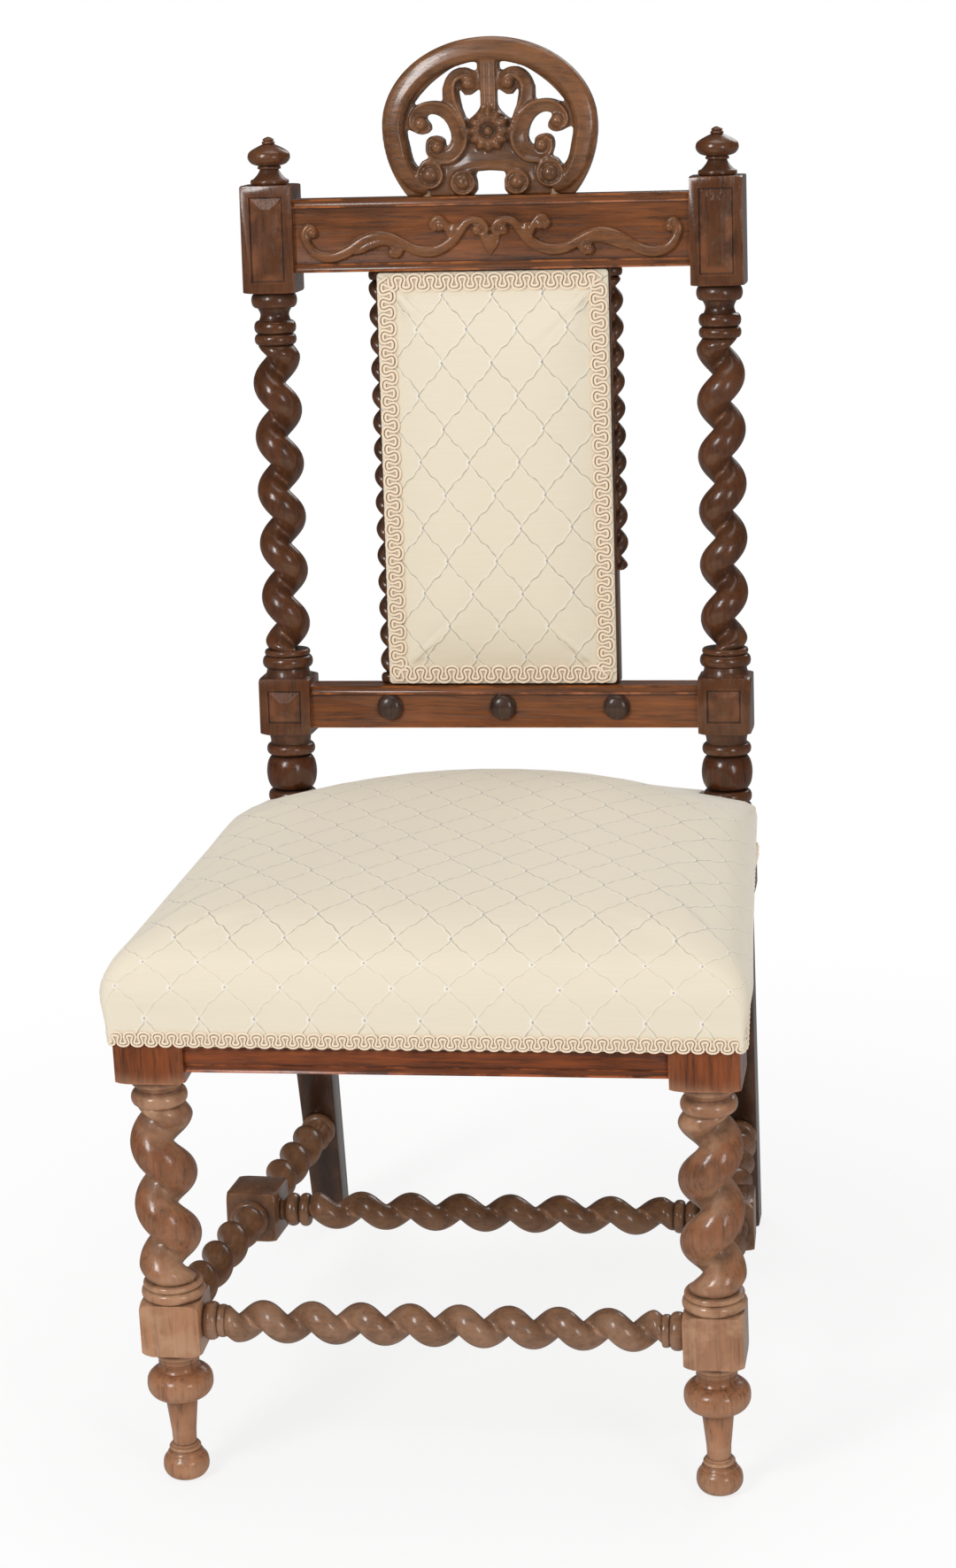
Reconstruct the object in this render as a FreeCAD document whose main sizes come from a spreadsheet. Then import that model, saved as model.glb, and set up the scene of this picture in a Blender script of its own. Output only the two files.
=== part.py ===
import FreeCAD, Part
import math
import os
from types import SimpleNamespace

import Sketcher

# Side chair in turned walnut: twisted legs, posts and stretchers, a pierced crest, an
# upholstered back panel and a stuffed-over seat. Millimetres, +Z up, the front faces -Y,
# the origin on the floor under the middle of the whole chair.

doc = FreeCAD.newDocument("side_chair")
sheet = doc.addObject("Spreadsheet::Sheet", "Sizes")

DRIVING_SIZES = [
    # plan and rake
    ("front_leg_spacing", 410.0),
    ("rear_post_spacing", 366.0),
    ("hip_depth", 435.0),
    ("heel_depth", 493.0),
    ("origin_depth", 241.7),
    ("back_rake", 6.4),
    ("fit_gap", 0.15),
    ("overrun", 2.0),
    ("soft_gap", 0.3),
    # front leg, from the floor up
    ("foot_height", 23.0),
    ("foot_radius", 17.6),
    ("foot_rest_radius", 11.0),
    ("ankle_height", 5.0),
    ("ankle_radius", 10.6),
    ("taper_height", 39.0),
    ("taper_low_radius", 9.0),
    ("taper_high_radius", 12.4),
    ("bulb_height", 24.0),
    ("bulb_radius", 25.2),
    ("leg_neck_height", 18.0),
    ("leg_neck_radius", 15.3),
    ("leg_block_height", 42.0),
    ("leg_block_side", 45.0),
    ("leg_ring_height", 9.0),
    ("leg_ring_radius", 24.3),
    ("leg_bead_height", 5.0),
    ("leg_bead_radius", 22.6),
    ("leg_twist_height", 143.0),
    ("leg_top_ring_height", 11.0),
    ("leg_top_ring_radius", 21.2),
    ("leg_top_collar_height", 13.0),
    ("leg_top_collar_radius", 18.4),
    ("leg_top_block_height", 60.0),
    ("leg_top_block_side", 52.0),
    ("leg_twist_radius", 16.2),
    ("leg_twist_offset", 8.2),
    ("leg_twist_pitch", 50.0),
    ("leg_twist_phase", 113.0),
    # rear leg
    ("rear_foot_side", 27.0),
    ("rear_leg_side", 36.0),
    ("hip_block_height", 67.0),
    ("post_block_side", 42.5),
    # rear post, from the hip block up
    ("base_ring_height", 10.5),
    ("base_ring_radius", 20.2),
    ("ball_height", 30.0),
    ("ball_radius", 21.0),
    ("ball_end_radius", 14.5),
    ("under_ring_height", 9.5),
    ("under_ring_radius", 20.2),
    ("under_collar_height", 9.4),
    ("under_collar_radius", 18.6),
    ("mid_block_height", 47.3),
    ("over_collar_height", 7.0),
    ("over_collar_radius", 19.6),
    ("over_ring_height", 10.5),
    ("over_ring_radius", 21.0),
    ("over_bead_height", 5.0),
    ("over_bead_radius", 19.0),
    ("post_twist_height", 253.2),
    ("low_bead_height", 9.0),
    ("low_bead_radius", 17.3),
    ("low_ring_height", 11.0),
    ("low_ring_radius", 17.3),
    ("post_neck_height", 10.0),
    ("post_neck_radius", 12.0),
    ("high_ring_height", 13.0),
    ("high_ring_radius", 18.9),
    ("top_block_height", 87.0),
    ("post_twist_radius", 12.9),
    ("post_twist_offset", 6.8),
    ("post_twist_pitch", 44.4),
    ("post_twist_phase", 223.0),
    ("ring_round", 2.6),
    # raised panels on the post blocks
    ("panel_side", 28.0),
    ("panel_margin", 10.0),
    ("panel_recess", 1.6),
    ("panel_rise", 3.4),
    ("panel_ledge", 1.2),
    ("panel_slope", 10.5),
    # finial
    ("flange_height", 4.5),
    ("flange_radius", 15.8),
    ("finial_neck_height", 8.0),
    ("finial_neck_radius", 7.4),
    ("collet_height", 2.6),
    ("collet_radius", 9.6),
    ("knob_height", 17.5),
    ("knob_radius", 17.3),
    ("knob_end_radius", 9.0),
    ("tip_height", 6.0),
    ("tip_radius", 4.2),
    ("spigot_radius", 6.0),
    ("spigot_length", 18.0),
    # rails of the back
    ("rail_setback", 5.0),
    ("back_rail_thickness", 24.0),
    ("top_rail_height", 59.0),
    ("top_rail_drop", 11.8),
    ("low_rail_height", 35.5),
    ("low_rail_drop", 6.3),
    ("rail_bead", 7.0),
    ("rail_bead_proud", 2.6),
    ("tenon_length", 18.0),
    ("tenon_thickness", 9.0),
    ("tenon_shoulder", 8.0),
    ("button_radius", 10.9),
    ("button_height", 7.5),
    ("button_spread", 94.5),
    ("button_pin_radius", 4.0),
    ("button_pin_length", 10.0),
    # crest
    ("crest_half_width", 87.5),
    ("crest_height", 126.0),
    ("crest_eye_height", 55.0),
    ("crest_band", 19.0),
    ("crest_thickness", 17.0),
    ("crest_dowel_radius", 4.0),
    ("crest_dowel_length", 24.0),
    ("crest_dowel_spread", 52.0),
    # back panel
    ("panel_half_width", 96.0),
    ("stile_width", 22.0),
    ("stile_thickness", 20.0),
    ("stile_setback", 14.0),
    ("panel_rail_height", 30.0),
    ("stub_length", 8.0),
    ("stub_thickness", 8.0),
    ("strip_radius", 5.4),
    ("strip_offset", 3.2),
    ("strip_pitch", 22.0),
    ("strip_end", 8.0),
    ("right_strip_length", 248.0),
    ("back_pad_border", 5.0),
    ("back_pad_crown", 10.0),
    ("back_pad_slope", 16.0),
    ("back_pad_corner", 3.0),
    ("cover_thickness", 1.5),
    # seat rails
    ("seat_rail_low", 341.5),
    ("seat_rail_thickness", 22.0),
    ("seat_rail_setback", 3.0),
    ("seat_rail_bead", 6.0),
    ("seat_tenon_height", 32.0),
    ("corner_block_reach", 40.0),
    ("corner_block_height", 38.0),
    # seat upholstery
    ("web_width", 50.0),
    ("web_thickness", 1.2),
    ("web_gap", 22.0),
    ("hessian_thickness", 1.0),
    ("skirt_thickness", 4.0),
    ("skirt_low", 362.0),
    ("seat_edge_height", 430.0),
    ("seat_crown_height", 452.0),
    ("seat_bulge", 4.0),
    ("seat_front_corner", 34.0),
    ("seat_back_corner", 58.0),
    ("seat_crown_reach", 138.0),
    ("skirt_corner_radius", 2.5),
    ("seat_shoulder", 26.0),
    ("gimp_width", 16.0),
    ("gimp_thickness", 2.4),
    # stretchers
    ("stretcher_height", 130.0),
    ("stretcher_fall", 36.0),
    ("pin_radius", 8.0),
    ("pin_length", 13.0),
    ("end_ring_width", 11.0),
    ("end_ring_radius", 14.8),
    ("end_collar_width", 6.0),
    ("end_collar_radius", 12.6),
    ("front_twist_radius", 10.9),
    ("front_twist_offset", 5.3),
    ("front_twist_pitch", 37.5),
    ("front_twist_phase", 15.0),
    ("cross_twist_radius", 10.5),
    ("cross_twist_offset", 5.0),
    ("cross_twist_pitch", 40.9),
    ("cross_twist_phase", 18.0),
    ("cross_end_width", 3.0),
    ("cross_end_radius", 9.0),
    ("cross_bulb_width", 12.5),
    ("cross_bead_width", 8.5),
    ("cross_bead_radius", 13.6),
    ("side_twist_pitch", 46.0),
    ("side_block_length", 46.0),
    ("side_block_side", 40.0),
    ("side_block_start", 205.0),
    ("side_ring_width", 9.0),
    ("side_ring_radius", 15.6),
    ("shoulder_waste", 8.0),
    ("peg_radius", 3.0),
    ("peg_length", 12.0),
]


class Size:
    """A length or a count: its value here and its formula in the document."""

    def __init__(self, value, formula):
        self.value = value
        self.formula = formula

    def combined(self, other, sign, result):
        text = other.formula if isinstance(other, Size) else repr(other)
        return Size(result, "(%s %s %s)" % (self.formula, sign, text))

    def __add__(self, other):
        return self.combined(other, "+", self.value + plain(other))

    def __sub__(self, other):
        return self.combined(other, "-", self.value - plain(other))

    def __mul__(self, other):
        return self.combined(other, "*", self.value * plain(other))

    def __truediv__(self, other):
        return self.combined(other, "/", self.value / plain(other))

    def __neg__(self):
        return Size(-self.value, "(-1 * %s)" % self.formula)


def plain(size):
    """The number behind a size."""
    return size.value if isinstance(size, Size) else float(size)


def worked_out(number):
    """A size that only the places of finished pieces give."""
    return Size(number, repr(number))


for row, (alias, number) in enumerate(DRIVING_SIZES, start=1):
    sheet.set("A%d" % row, alias)
    sheet.set("B%d" % row, str(number))
    sheet.setAlias("B%d" % row, alias)
doc.recompute()

named = {alias: Size(float(sheet.get(alias)), "Sizes." + alias) for alias, number in DRIVING_SIZES}
d = SimpleNamespace(**named)
SIDES = 16
MEMBER_SIDES = 16
DOWEL_SIDES = 10
BEAD_ROUND_SHARE = 0.62
BUTTON_DOME_SHARES = ((0.72, 0.5), (0.2, 0.25))
BACK_WEBS_UP = 2
BACK_WEBS_ACROSS = 3
SEAT_WEBS = 4
ZERO = Size(0.0, "0")
QUARTER = Size(90.0, "90")
sides = {"left": -1, "right": 1}
finished = {}


def bind(thing, path, size):
    """Give a property its size, as a formula of the sheet where it has one."""
    if isinstance(size, Size):
        thing.setExpression(path, size.formula)


def place(thing, x=ZERO, y=ZERO, z=ZERO, axis=(0, 0, 1), angle=ZERO):
    """Move and turn a finished thing by named sizes."""
    turn = FreeCAD.Rotation(FreeCAD.Vector(*axis), plain(angle))
    thing.Placement = FreeCAD.Placement(FreeCAD.Vector(plain(x), plain(y), plain(z)), turn)
    bind(thing, "Placement.Base.x", x)
    bind(thing, "Placement.Base.y", y)
    bind(thing, "Placement.Base.z", z)
    bind(thing, "Placement.Rotation.Angle", angle)
    return thing


def place_in_back(thing):
    """Stand a piece that was made upright on the raked axis of the back."""
    return place(thing, ZERO, hip_y, hip_top, (-1, 0, 0), d.back_rake)


def finish_node(thing, label):
    thing.Label = label
    finished[label] = thing
    return thing


def box(name, low, high):
    """A Part::Box between two corners."""
    made = doc.addObject("Part::Box", name)
    for path, a, b in zip(("Length", "Width", "Height"), low, high):
        bind(made, path, b - a)
    for path, a in zip("xyz", low):
        bind(made, "Placement.Base." + path, a)
    return made


def prism(name, radius, length, sides=SIDES):
    """A flat-sided pin, or the socket for one."""
    made = doc.addObject("Part::Prism", name)
    made.Polygon = sides
    bind(made, "Circumradius", radius)
    bind(made, "Height", length)
    return made


def pin(name, radius, length, centre, axis=(0, 0, 1), angle=ZERO, sides=SIDES):
    return place(prism(name, radius, length, sides), *centre, axis=axis, angle=angle)


def fuse(name, things):
    made = doc.addObject("Part::MultiFuse", name)
    made.Shapes = things
    return made


def cut(name, base, tools):
    made = doc.addObject("Part::Cut", name)
    made.Base = base
    made.Tool = tools[0] if len(tools) == 1 else fuse(name + "_tools", tools)
    return made


def plane_of(body, role):
    return next(feature for feature in body.Origin.OriginFeatures if feature.Role == role)


def sketch_on(body, name, role, lift=ZERO):
    sketch = body.newObject("Sketcher::SketchObject", name)
    sketch.AttachmentSupport = [(plane_of(body, role), "")]
    sketch.MapMode = "FlatFace"
    bind(sketch, "AttachmentOffset.Base.z", lift)
    return sketch


def pin_down(sketch, geometry, end, point):
    """Fix one end of a sketch line at a named place."""
    for kind, axis, size in (("DistanceX", -2, point[0]), ("DistanceY", -1, point[1])):
        if plain(size) == 0.0:
            sketch.addConstraint(Sketcher.Constraint("PointOnObject", geometry, end, axis))
            continue
        index = sketch.addConstraint(Sketcher.Constraint(kind, -1, 1, geometry, end, plain(size)))
        bind(sketch, "Constraints[%d]" % index, size)


def arc_centre(start, end, radius, side):
    """Centre of the short arc from start to end that bulges to the given side."""
    chord = end - start
    half = chord.Length / 2
    away = FreeCAD.Vector(chord.y, -chord.x, 0).normalize() * side
    return (start + end) / 2 - away * math.sqrt(max(radius * radius - half * half, 0.0))


def outline(sketch, points, arcs=None):
    """Close a chain of lines through named points. arcs gives, by the number of the edge, the
    radius of an arc there and the side that it bulges to: 1 right of the way, -1 left of it."""
    arcs = arcs or {}
    count = len(points)
    corners = [FreeCAD.Vector(plain(x), plain(y), 0) for x, y in points]
    ends = []
    for i in range(count):
        start, end = corners[i], corners[(i + 1) % count]
        if i not in arcs:
            number = sketch.addGeometry(Part.LineSegment(start, end))
            ends.append((number, 1, 2))
            continue
        radius, side = arcs[i]
        centre = arc_centre(start, end, plain(radius), side)
        first, last = (start, end) if side > 0 else (end, start)
        circle = Part.Circle(centre, FreeCAD.Vector(0, 0, 1), plain(radius))
        angles = [math.atan2(p.y - centre.y, p.x - centre.x) for p in (first, last)]
        if angles[1] < angles[0]:
            angles[1] += 2 * math.pi
        number = sketch.addGeometry(Part.ArcOfCircle(circle, angles[0], angles[1]))
        index = sketch.addConstraint(Sketcher.Constraint("Radius", number, plain(radius)))
        bind(sketch, "Constraints[%d]" % index, radius)
        ends.append((number, 1, 2) if side > 0 else (number, 2, 1))
    for i in range(count):
        here, after = ends[i], ends[(i + 1) % count]
        sketch.addConstraint(Sketcher.Constraint("Coincident", here[0], here[2], after[0], after[1]))
    for i in range(count):
        pin_down(sketch, ends[i][0], ends[i][1], points[i])


def body(name):
    return doc.addObject("PartDesign::Body", name)


def padded(name, role, points, length, arcs=None, lift=ZERO, midplane=False):
    """A body made by padding one outline."""
    made = body(name)
    sketch = sketch_on(made, name + "_outline", role, lift)
    outline(sketch, points, arcs)
    pad = made.newObject("PartDesign::Pad", name + "_pad")
    pad.Profile = sketch
    bind(pad, "Length", length)
    pad.Midplane = midplane
    sketch.Visibility = False
    return made


class Turning:
    """The half profile of a turned piece, built up along its axis and revolved."""

    def __init__(self):
        self.points = [(ZERO, ZERO)]
        self.arcs = {}
        self.at = ZERO

    def to(self, radius, height=ZERO):
        if plain(height) == 0 and plain(radius) == plain(self.points[-1][0]):
            return self
        self.at = self.at + height
        self.points.append((radius, self.at))
        return self

    def straight(self, radius, height):
        self.to(radius)
        return self.to(radius, height)

    def ring(self, radius, height):
        self.to(radius - d.ring_round)
        self.to(radius, d.ring_round)
        self.to(radius, height - d.ring_round * 2)
        return self.to(radius - d.ring_round, d.ring_round)

    def swell(self, end_radius, radius, height, shares):
        """A swelling in straight turned bands from end_radius, by shares of the height and of
        the rise to radius."""
        rise = radius - end_radius
        foot = self.at
        self.to(end_radius)
        for up, out in shares:
            self.at = foot + height * up
            self.points.append((end_radius + rise * out, self.at))
        return self

    def turned(self, name, sides=0):
        """The profile as a sketch, and the piece turned from it in flat faces."""
        sketch = doc.addObject("Sketcher::SketchObject", name + "_profile")
        outline(sketch, self.points + [(ZERO, self.at)], self.arcs)
        place(sketch, axis=(1, 0, 0), angle=QUARTER)
        sketch.Visibility = False
        rings = []
        for radius, height in self.points[1:]:
            rings.append(ring_of(plain(radius), plain(height), sides or SIDES))
        faces = [facet(*rings[0]), facet(*rings[-1])]
        for low, high in zip(rings, rings[1:]):
            for k in range(len(low)):
                n = (k + 1) % len(low)
                faces.append(facet(low[k], low[n], high[n], high[k]))
        return solid_of(name, faces)


def ring_of(radius, height, sides):
    angles = [2 * math.pi * k / sides for k in range(sides)]
    return [FreeCAD.Vector(radius * math.cos(a), radius * math.sin(a), height) for a in angles]


BALL_SHARES = ((0.10, 0.59), (0.35, 0.95), (0.65, 0.95), (0.90, 0.59), (1.0, 0.0))
BULB_SHARES = ((0.12, 0.52), (0.34, 0.90), (0.60, 1.0), (0.84, 0.86), (1.0, 0.58))
BEAD_SHARES = ((0.22, 0.80), (0.50, 1.0), (0.78, 0.80), (1.0, 0.0))
KNOB_SHARES = ((0.14, 0.70), (0.42, 1.0), (0.66, 0.90), (1.0, -0.35))
FOOT_SHARES = ((0.17, 0.72), (0.50, 1.0), (0.80, 0.76), (1.0, 0.22))
AROUND = 8


def twist_section(radius, offset, pitch, angle):
    """How far from the axis the cut through a round strand, wound at offset, reaches at an
    angle from the strand's own side."""
    reach = 0.0
    samples = 60
    for i in range(-samples, samples + 1):
        along = radius * i / samples
        turn = 2 * math.pi * along / pitch
        cut_radius = math.sqrt(radius * radius - along * along)
        near = offset * math.cos(angle - turn)
        miss = offset * math.sin(angle - turn)
        if abs(miss) <= cut_radius:
            reach = max(reach, near + math.sqrt(cut_radius * cut_radius - miss * miss))
    return reach


def solid_of(name, faces):
    made = doc.addObject("Part::Feature", name)
    solid = Part.makeSolid(Part.makeShell(faces))
    if solid.Volume < 0:
        solid.reverse()
    made.Shape = solid
    return made


def facet(*corners):
    return Part.Face(Part.makePolygon(list(corners) + [corners[0]]))


def twist(name, radius, offset, pitch, length, phase, hand, start_angle, around=AROUND):
    """A single-strand twist along +Z in flat facets, one closed solid from z = 0. The strand
    stands at start_angle where z is phase, and turns by hand, +1 or -1, as z grows."""
    r, e, p, total = plain(radius), plain(offset), plain(pitch), plain(length)
    steps = max(2, round(total / p * around))
    spread = [2 * math.pi * k / around for k in range(around)]
    reach = [twist_section(r, e, p, min(a, 2 * math.pi - a)) for a in spread]
    rings = []
    for j in range(steps + 1):
        z = total * j / steps
        lead = math.radians(start_angle) + hand * 2 * math.pi * (z - plain(phase)) / p
        ring = [(reach[k], lead + hand * spread[k]) for k in range(around)]
        rings.append([FreeCAD.Vector(a * math.cos(b), a * math.sin(b), z) for a, b in ring])
    faces = [facet(*ring) for ring in (rings[0], rings[-1])]
    for low, high in zip(rings, rings[1:]):
        for k in range(around):
            n = (k + 1) % around
            faces.append(facet(low[k], low[n], high[k]))
            faces.append(facet(low[n], high[n], high[k]))
    return solid_of(name, faces)


def half_twist(name, radius, offset, pitch, length, hand, side):
    """The front half of a twist, flat against the plane x = 0 and standing out to one side."""
    r, e, p, total = plain(radius), plain(offset), plain(pitch), plain(length)
    steps = max(2, round(total / p * 6))
    bands = 4
    rings = []
    for j in range(steps + 1):
        z = total * j / steps
        lead = hand * 2 * math.pi * z / p
        ring = []
        for k in range(bands + 1):
            a = math.pi * (k / bands - 0.5)
            off = abs((a - lead + math.pi) % (2 * math.pi) - math.pi)
            reach = twist_section(r, e, p, off)
            out = 0.0 if k in (0, bands) else reach * math.cos(a)
            ring.append(FreeCAD.Vector(out * side, reach * math.sin(a), z))
        rings.append(ring)
    wall = [ring[0] for ring in rings] + [ring[-1] for ring in reversed(rings)]
    faces = [facet(*rings[0]), facet(*rings[-1]), facet(*wall)]
    for low, high in zip(rings, rings[1:]):
        for k in range(bands):
            faces.append(facet(low[k], low[k + 1], high[k + 1]))
            faces.append(facet(low[k], high[k + 1], high[k]))
    return solid_of(name, faces)


# Heights and places that several pieces share

hip_y = d.hip_depth - d.origin_depth
front_y = -d.origin_depth
heel_y = d.heel_depth - d.origin_depth

leg_block_low = (
    d.foot_height + d.ankle_height + d.taper_height + d.bulb_height + d.leg_neck_height
)
leg_block_high = leg_block_low + d.leg_block_height
leg_twist_low = leg_block_high + d.leg_ring_height + d.leg_bead_height
leg_twist_high = leg_twist_low + d.leg_twist_height
leg_top_low = leg_twist_high + d.leg_top_ring_height + d.leg_top_collar_height
hip_top = leg_top_low + d.leg_top_block_height
seat_rail_height = hip_top - d.seat_rail_low
rear_leg_top = hip_top - d.hip_block_height

mid_block_low = (
    d.base_ring_height * 2
    + d.ball_height
    + d.under_ring_height
    + d.under_collar_height
)
mid_block_high = mid_block_low + d.mid_block_height
post_twist_low = mid_block_high + d.over_collar_height + d.over_ring_height + d.over_bead_height
post_twist_high = post_twist_low + d.post_twist_height
top_block_low = (
    post_twist_high + d.low_bead_height + d.low_ring_height + d.post_neck_height + d.high_ring_height
)
top_block_high = top_block_low + d.top_block_height

top_rail_high = top_block_high - d.top_rail_drop
top_rail_low = top_rail_high - d.top_rail_height
low_rail_high = mid_block_high - d.low_rail_drop
low_rail_low = low_rail_high - d.low_rail_height

half_spacing = d.rear_post_spacing / 2
post_half = d.post_block_side / 2
post_inner = half_spacing - post_half
rail_front = d.rail_setback - post_half
rail_back = rail_front + d.back_rail_thickness
rail_middle = (rail_front + rail_back) / 2
leg_half = d.front_leg_spacing / 2
top_half = d.leg_top_block_side / 2
seat_rail_front = front_y - top_half + d.seat_rail_setback


def raised_panel(name, low, high):
    """The recess in the front of a post block and the hipped field that rises in it."""
    half = d.panel_side / 2
    face = -post_half
    recess = box(
        name + "_recess",
        (-half, face - d.overrun, low + d.panel_margin),
        (half, face + d.panel_recess, high - d.panel_margin),
    )
    inner = half - d.panel_ledge
    field_low = low + d.panel_margin + d.panel_ledge
    field_high = high - d.panel_margin - d.panel_ledge
    field = doc.addObject("Part::Wedge", name + "_field")
    bind(field, "Ymin", face + d.panel_recess - d.panel_rise)
    bind(field, "Ymax", face + d.panel_recess)
    bind(field, "Xmin", d.panel_slope - inner)
    bind(field, "Xmax", inner - d.panel_slope)
    bind(field, "X2min", -inner)
    bind(field, "X2max", inner)
    bind(field, "Zmin", field_low + d.panel_slope)
    bind(field, "Zmax", field_high - d.panel_slope)
    bind(field, "Z2min", field_low)
    bind(field, "Z2max", field_high)
    return recess, field


def post_block(name, low, high):
    return box(name, (-post_half, -post_half, low), (post_half, post_half, high))


def rear_post(side_name, side):
    """One rear post: raked leg, hip block, and the turned and twisted upper part, which is
    turned on its own axis and leans back by the rake."""
    name = "rear_post_" + side_name
    turning = Turning()
    turning.ring(d.base_ring_radius, d.base_ring_height)
    turning.ring(d.base_ring_radius, d.base_ring_height)
    turning.swell(d.ball_end_radius, d.ball_radius, d.ball_height, BALL_SHARES)
    turning.ring(d.under_ring_radius, d.under_ring_height)
    turning.to(d.under_collar_radius, d.under_collar_height)
    turning.straight(d.post_neck_radius, d.mid_block_height)
    turning.to(d.over_collar_radius)
    turning.to(d.over_ring_radius - d.ring_round, d.over_collar_height)
    turning.ring(d.over_ring_radius, d.over_ring_height)
    turning.to(d.over_bead_radius, d.over_bead_height)
    turning.straight(d.post_twist_offset / 2, d.post_twist_height)
    turning.ring(d.low_bead_radius, d.low_bead_height)
    turning.ring(d.low_ring_radius, d.low_ring_height)
    turning.to(d.post_neck_radius, d.post_neck_height / 2)
    turning.to(d.high_ring_radius - d.ring_round, d.post_neck_height / 2)
    turning.ring(d.high_ring_radius, d.high_ring_height)
    core = turning.turned(name + "_core", MEMBER_SIDES)
    strand = twist(
        name + "_strand",
        d.post_twist_radius,
        d.post_twist_offset,
        d.post_twist_pitch,
        d.post_twist_height,
        d.post_twist_phase,
        side,
        0 if side > 0 else 180,
    )
    place(strand, z=post_twist_low)
    blocks = [
        post_block(name + "_mid_block", mid_block_low, mid_block_high),
        post_block(name + "_top_block", top_block_low, top_block_high),
    ]
    mid_recess, mid_field = raised_panel(name + "_mid", mid_block_low, mid_block_high)
    top_recess, top_field = raised_panel(name + "_top", top_block_low, top_block_high)
    inner_face = -post_half * side
    mortises = []
    for tag, low, high in (
        ("low", low_rail_low, low_rail_high),
        ("top", top_rail_low, top_rail_high),
    ):
        ends = sorted(
            (inner_face - d.overrun * side, inner_face + (d.tenon_length + d.fit_gap) * side),
            key=plain,
        )
        room = d.tenon_thickness / 2 + d.fit_gap
        step = d.tenon_shoulder - d.fit_gap
        near = (ends[0], rail_middle - room, low + step)
        far = (ends[1], rail_middle + room, high - step)
        mortises.append(box("%s_%s_mortise" % (name, tag), near, far))
    socket = pin(
        name + "_finial_socket",
        d.spigot_radius + d.fit_gap,
        d.spigot_length + d.fit_gap + d.overrun,
        (ZERO, ZERO, top_block_high - d.spigot_length - d.fit_gap),
    )
    sunk = cut(name + "_sunk", fuse(name + "_blank", [core, strand] + blocks), [mid_recess, top_recess])
    upper = cut(name + "_upper", fuse(name + "_carved", [sunk, mid_field, top_field]), mortises + [socket])
    place(upper, half_spacing * side, hip_y, hip_top, (-1, 0, 0), d.back_rake)

    hip = box(
        name + "_hip",
        (half_spacing * side - post_half, hip_y - post_half, rear_leg_top),
        (half_spacing * side + post_half, hip_y + post_half, hip_top),
    )
    leg = rear_leg_wedge(name + "_leg", side)
    tools = [
        seat_mortise(name + "_side_mortise", side, "rear", d.fit_gap),
        seat_mortise(name + "_back_mortise", side, "back", d.fit_gap),
        side_stretcher_hole(name + "_stretcher_hole", side),
    ]
    lower = cut(name + "_lower", fuse(name + "_lower_blank", [hip, leg]), tools)
    return finish_node(fuse(name, [upper, lower]), name)


def rear_leg_wedge(name, side):
    """The square rear leg, which tapers and leans back to the floor."""
    leg = doc.addObject("Part::Wedge", name)
    foot, knee = d.rear_foot_side / 2, d.rear_leg_side / 2
    for path, size in (
        ("Ymin", ZERO),
        ("Ymax", rear_leg_top),
        ("Xmin", half_spacing * side - foot),
        ("Xmax", half_spacing * side + foot),
        ("Zmin", -heel_y - foot),
        ("Zmax", -heel_y + foot),
        ("X2min", half_spacing * side - knee),
        ("X2max", half_spacing * side + knee),
        ("Z2min", -hip_y - knee),
        ("Z2max", -hip_y + knee),
    ):
        bind(leg, path, size)
    return place(leg, axis=(1, 0, 0), angle=QUARTER)


def side_rail_x(side, y, inset):
    """Where the side rail's face, inset from the outer one, stands at a depth."""
    front = leg_half + top_half - d.seat_rail_setback - inset
    back = half_spacing + post_half - d.seat_rail_setback - inset
    start = front_y + top_half
    run = hip_y - post_half - start
    return (front + (back - front) * ((y - start) / run)) * side


def seat_mortise(name, side, which, gap):
    """A rectangular tenon of the seat frame, or its mortise when gap is not nil."""
    low_z = d.seat_rail_low + (seat_rail_height - d.seat_tenon_height) / 2 - gap
    high_z = low_z + d.seat_tenon_height + gap * 2
    half = d.tenon_thickness / 2 + gap
    reach = d.tenon_length + gap
    start = d.overrun if plain(gap) else ZERO
    middle = d.seat_rail_thickness / 2
    if which == "front":
        y = seat_rail_front + middle
        near = (leg_half - top_half - start) * side
        far = (leg_half - top_half + reach) * side
        xs = sorted((near, far), key=plain)
        ys = (y - half, y + half)
    elif which == "back":
        y = hip_y
        near = (half_spacing - post_half - start) * side
        far = (half_spacing - post_half + reach) * side
        xs = sorted((near, far), key=plain)
        ys = (y - half + middle / 2, y + half + middle / 2)
    elif which == "side":
        y = front_y + top_half
        x = side_rail_x(side, y, middle)
        xs = (x - half, x + half)
        ys = (y - reach, y + start)
    else:
        y = hip_y - post_half
        x = side_rail_x(side, y, middle)
        xs = (x - half, x + half)
        ys = (y - start, y + reach)
    return box(name, (xs[0], ys[0], low_z), (xs[1], ys[1], high_z))


# The side stretcher runs from the back of the front leg's block down to the rear leg

stretcher_front = FreeCAD.Vector(
    plain(leg_half), plain(front_y + d.leg_block_side / 2), plain(d.stretcher_height)
)


def rear_leg_axis(z):
    """Depth of the rear leg's axis at a height."""
    return plain(hip_y) + plain(heel_y - hip_y) * (1 - z / plain(rear_leg_top))


def rear_leg_half(z):
    return (plain(d.rear_foot_side) + plain(d.rear_leg_side - d.rear_foot_side) * z / plain(rear_leg_top)) / 2


rear_joint_z = plain(d.stretcher_height - d.stretcher_fall)
stretcher_rear = FreeCAD.Vector(
    plain(half_spacing),
    rear_leg_axis(rear_joint_z) - rear_leg_half(rear_joint_z),
    rear_joint_z,
)
stretcher_run = stretcher_rear - stretcher_front
side_length = stretcher_run.Length


def side_axis(side):
    start = FreeCAD.Vector(stretcher_front.x * side, stretcher_front.y, stretcher_front.z)
    run = FreeCAD.Vector(stretcher_run.x * side, stretcher_run.y, stretcher_run.z)
    return start, run


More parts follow.
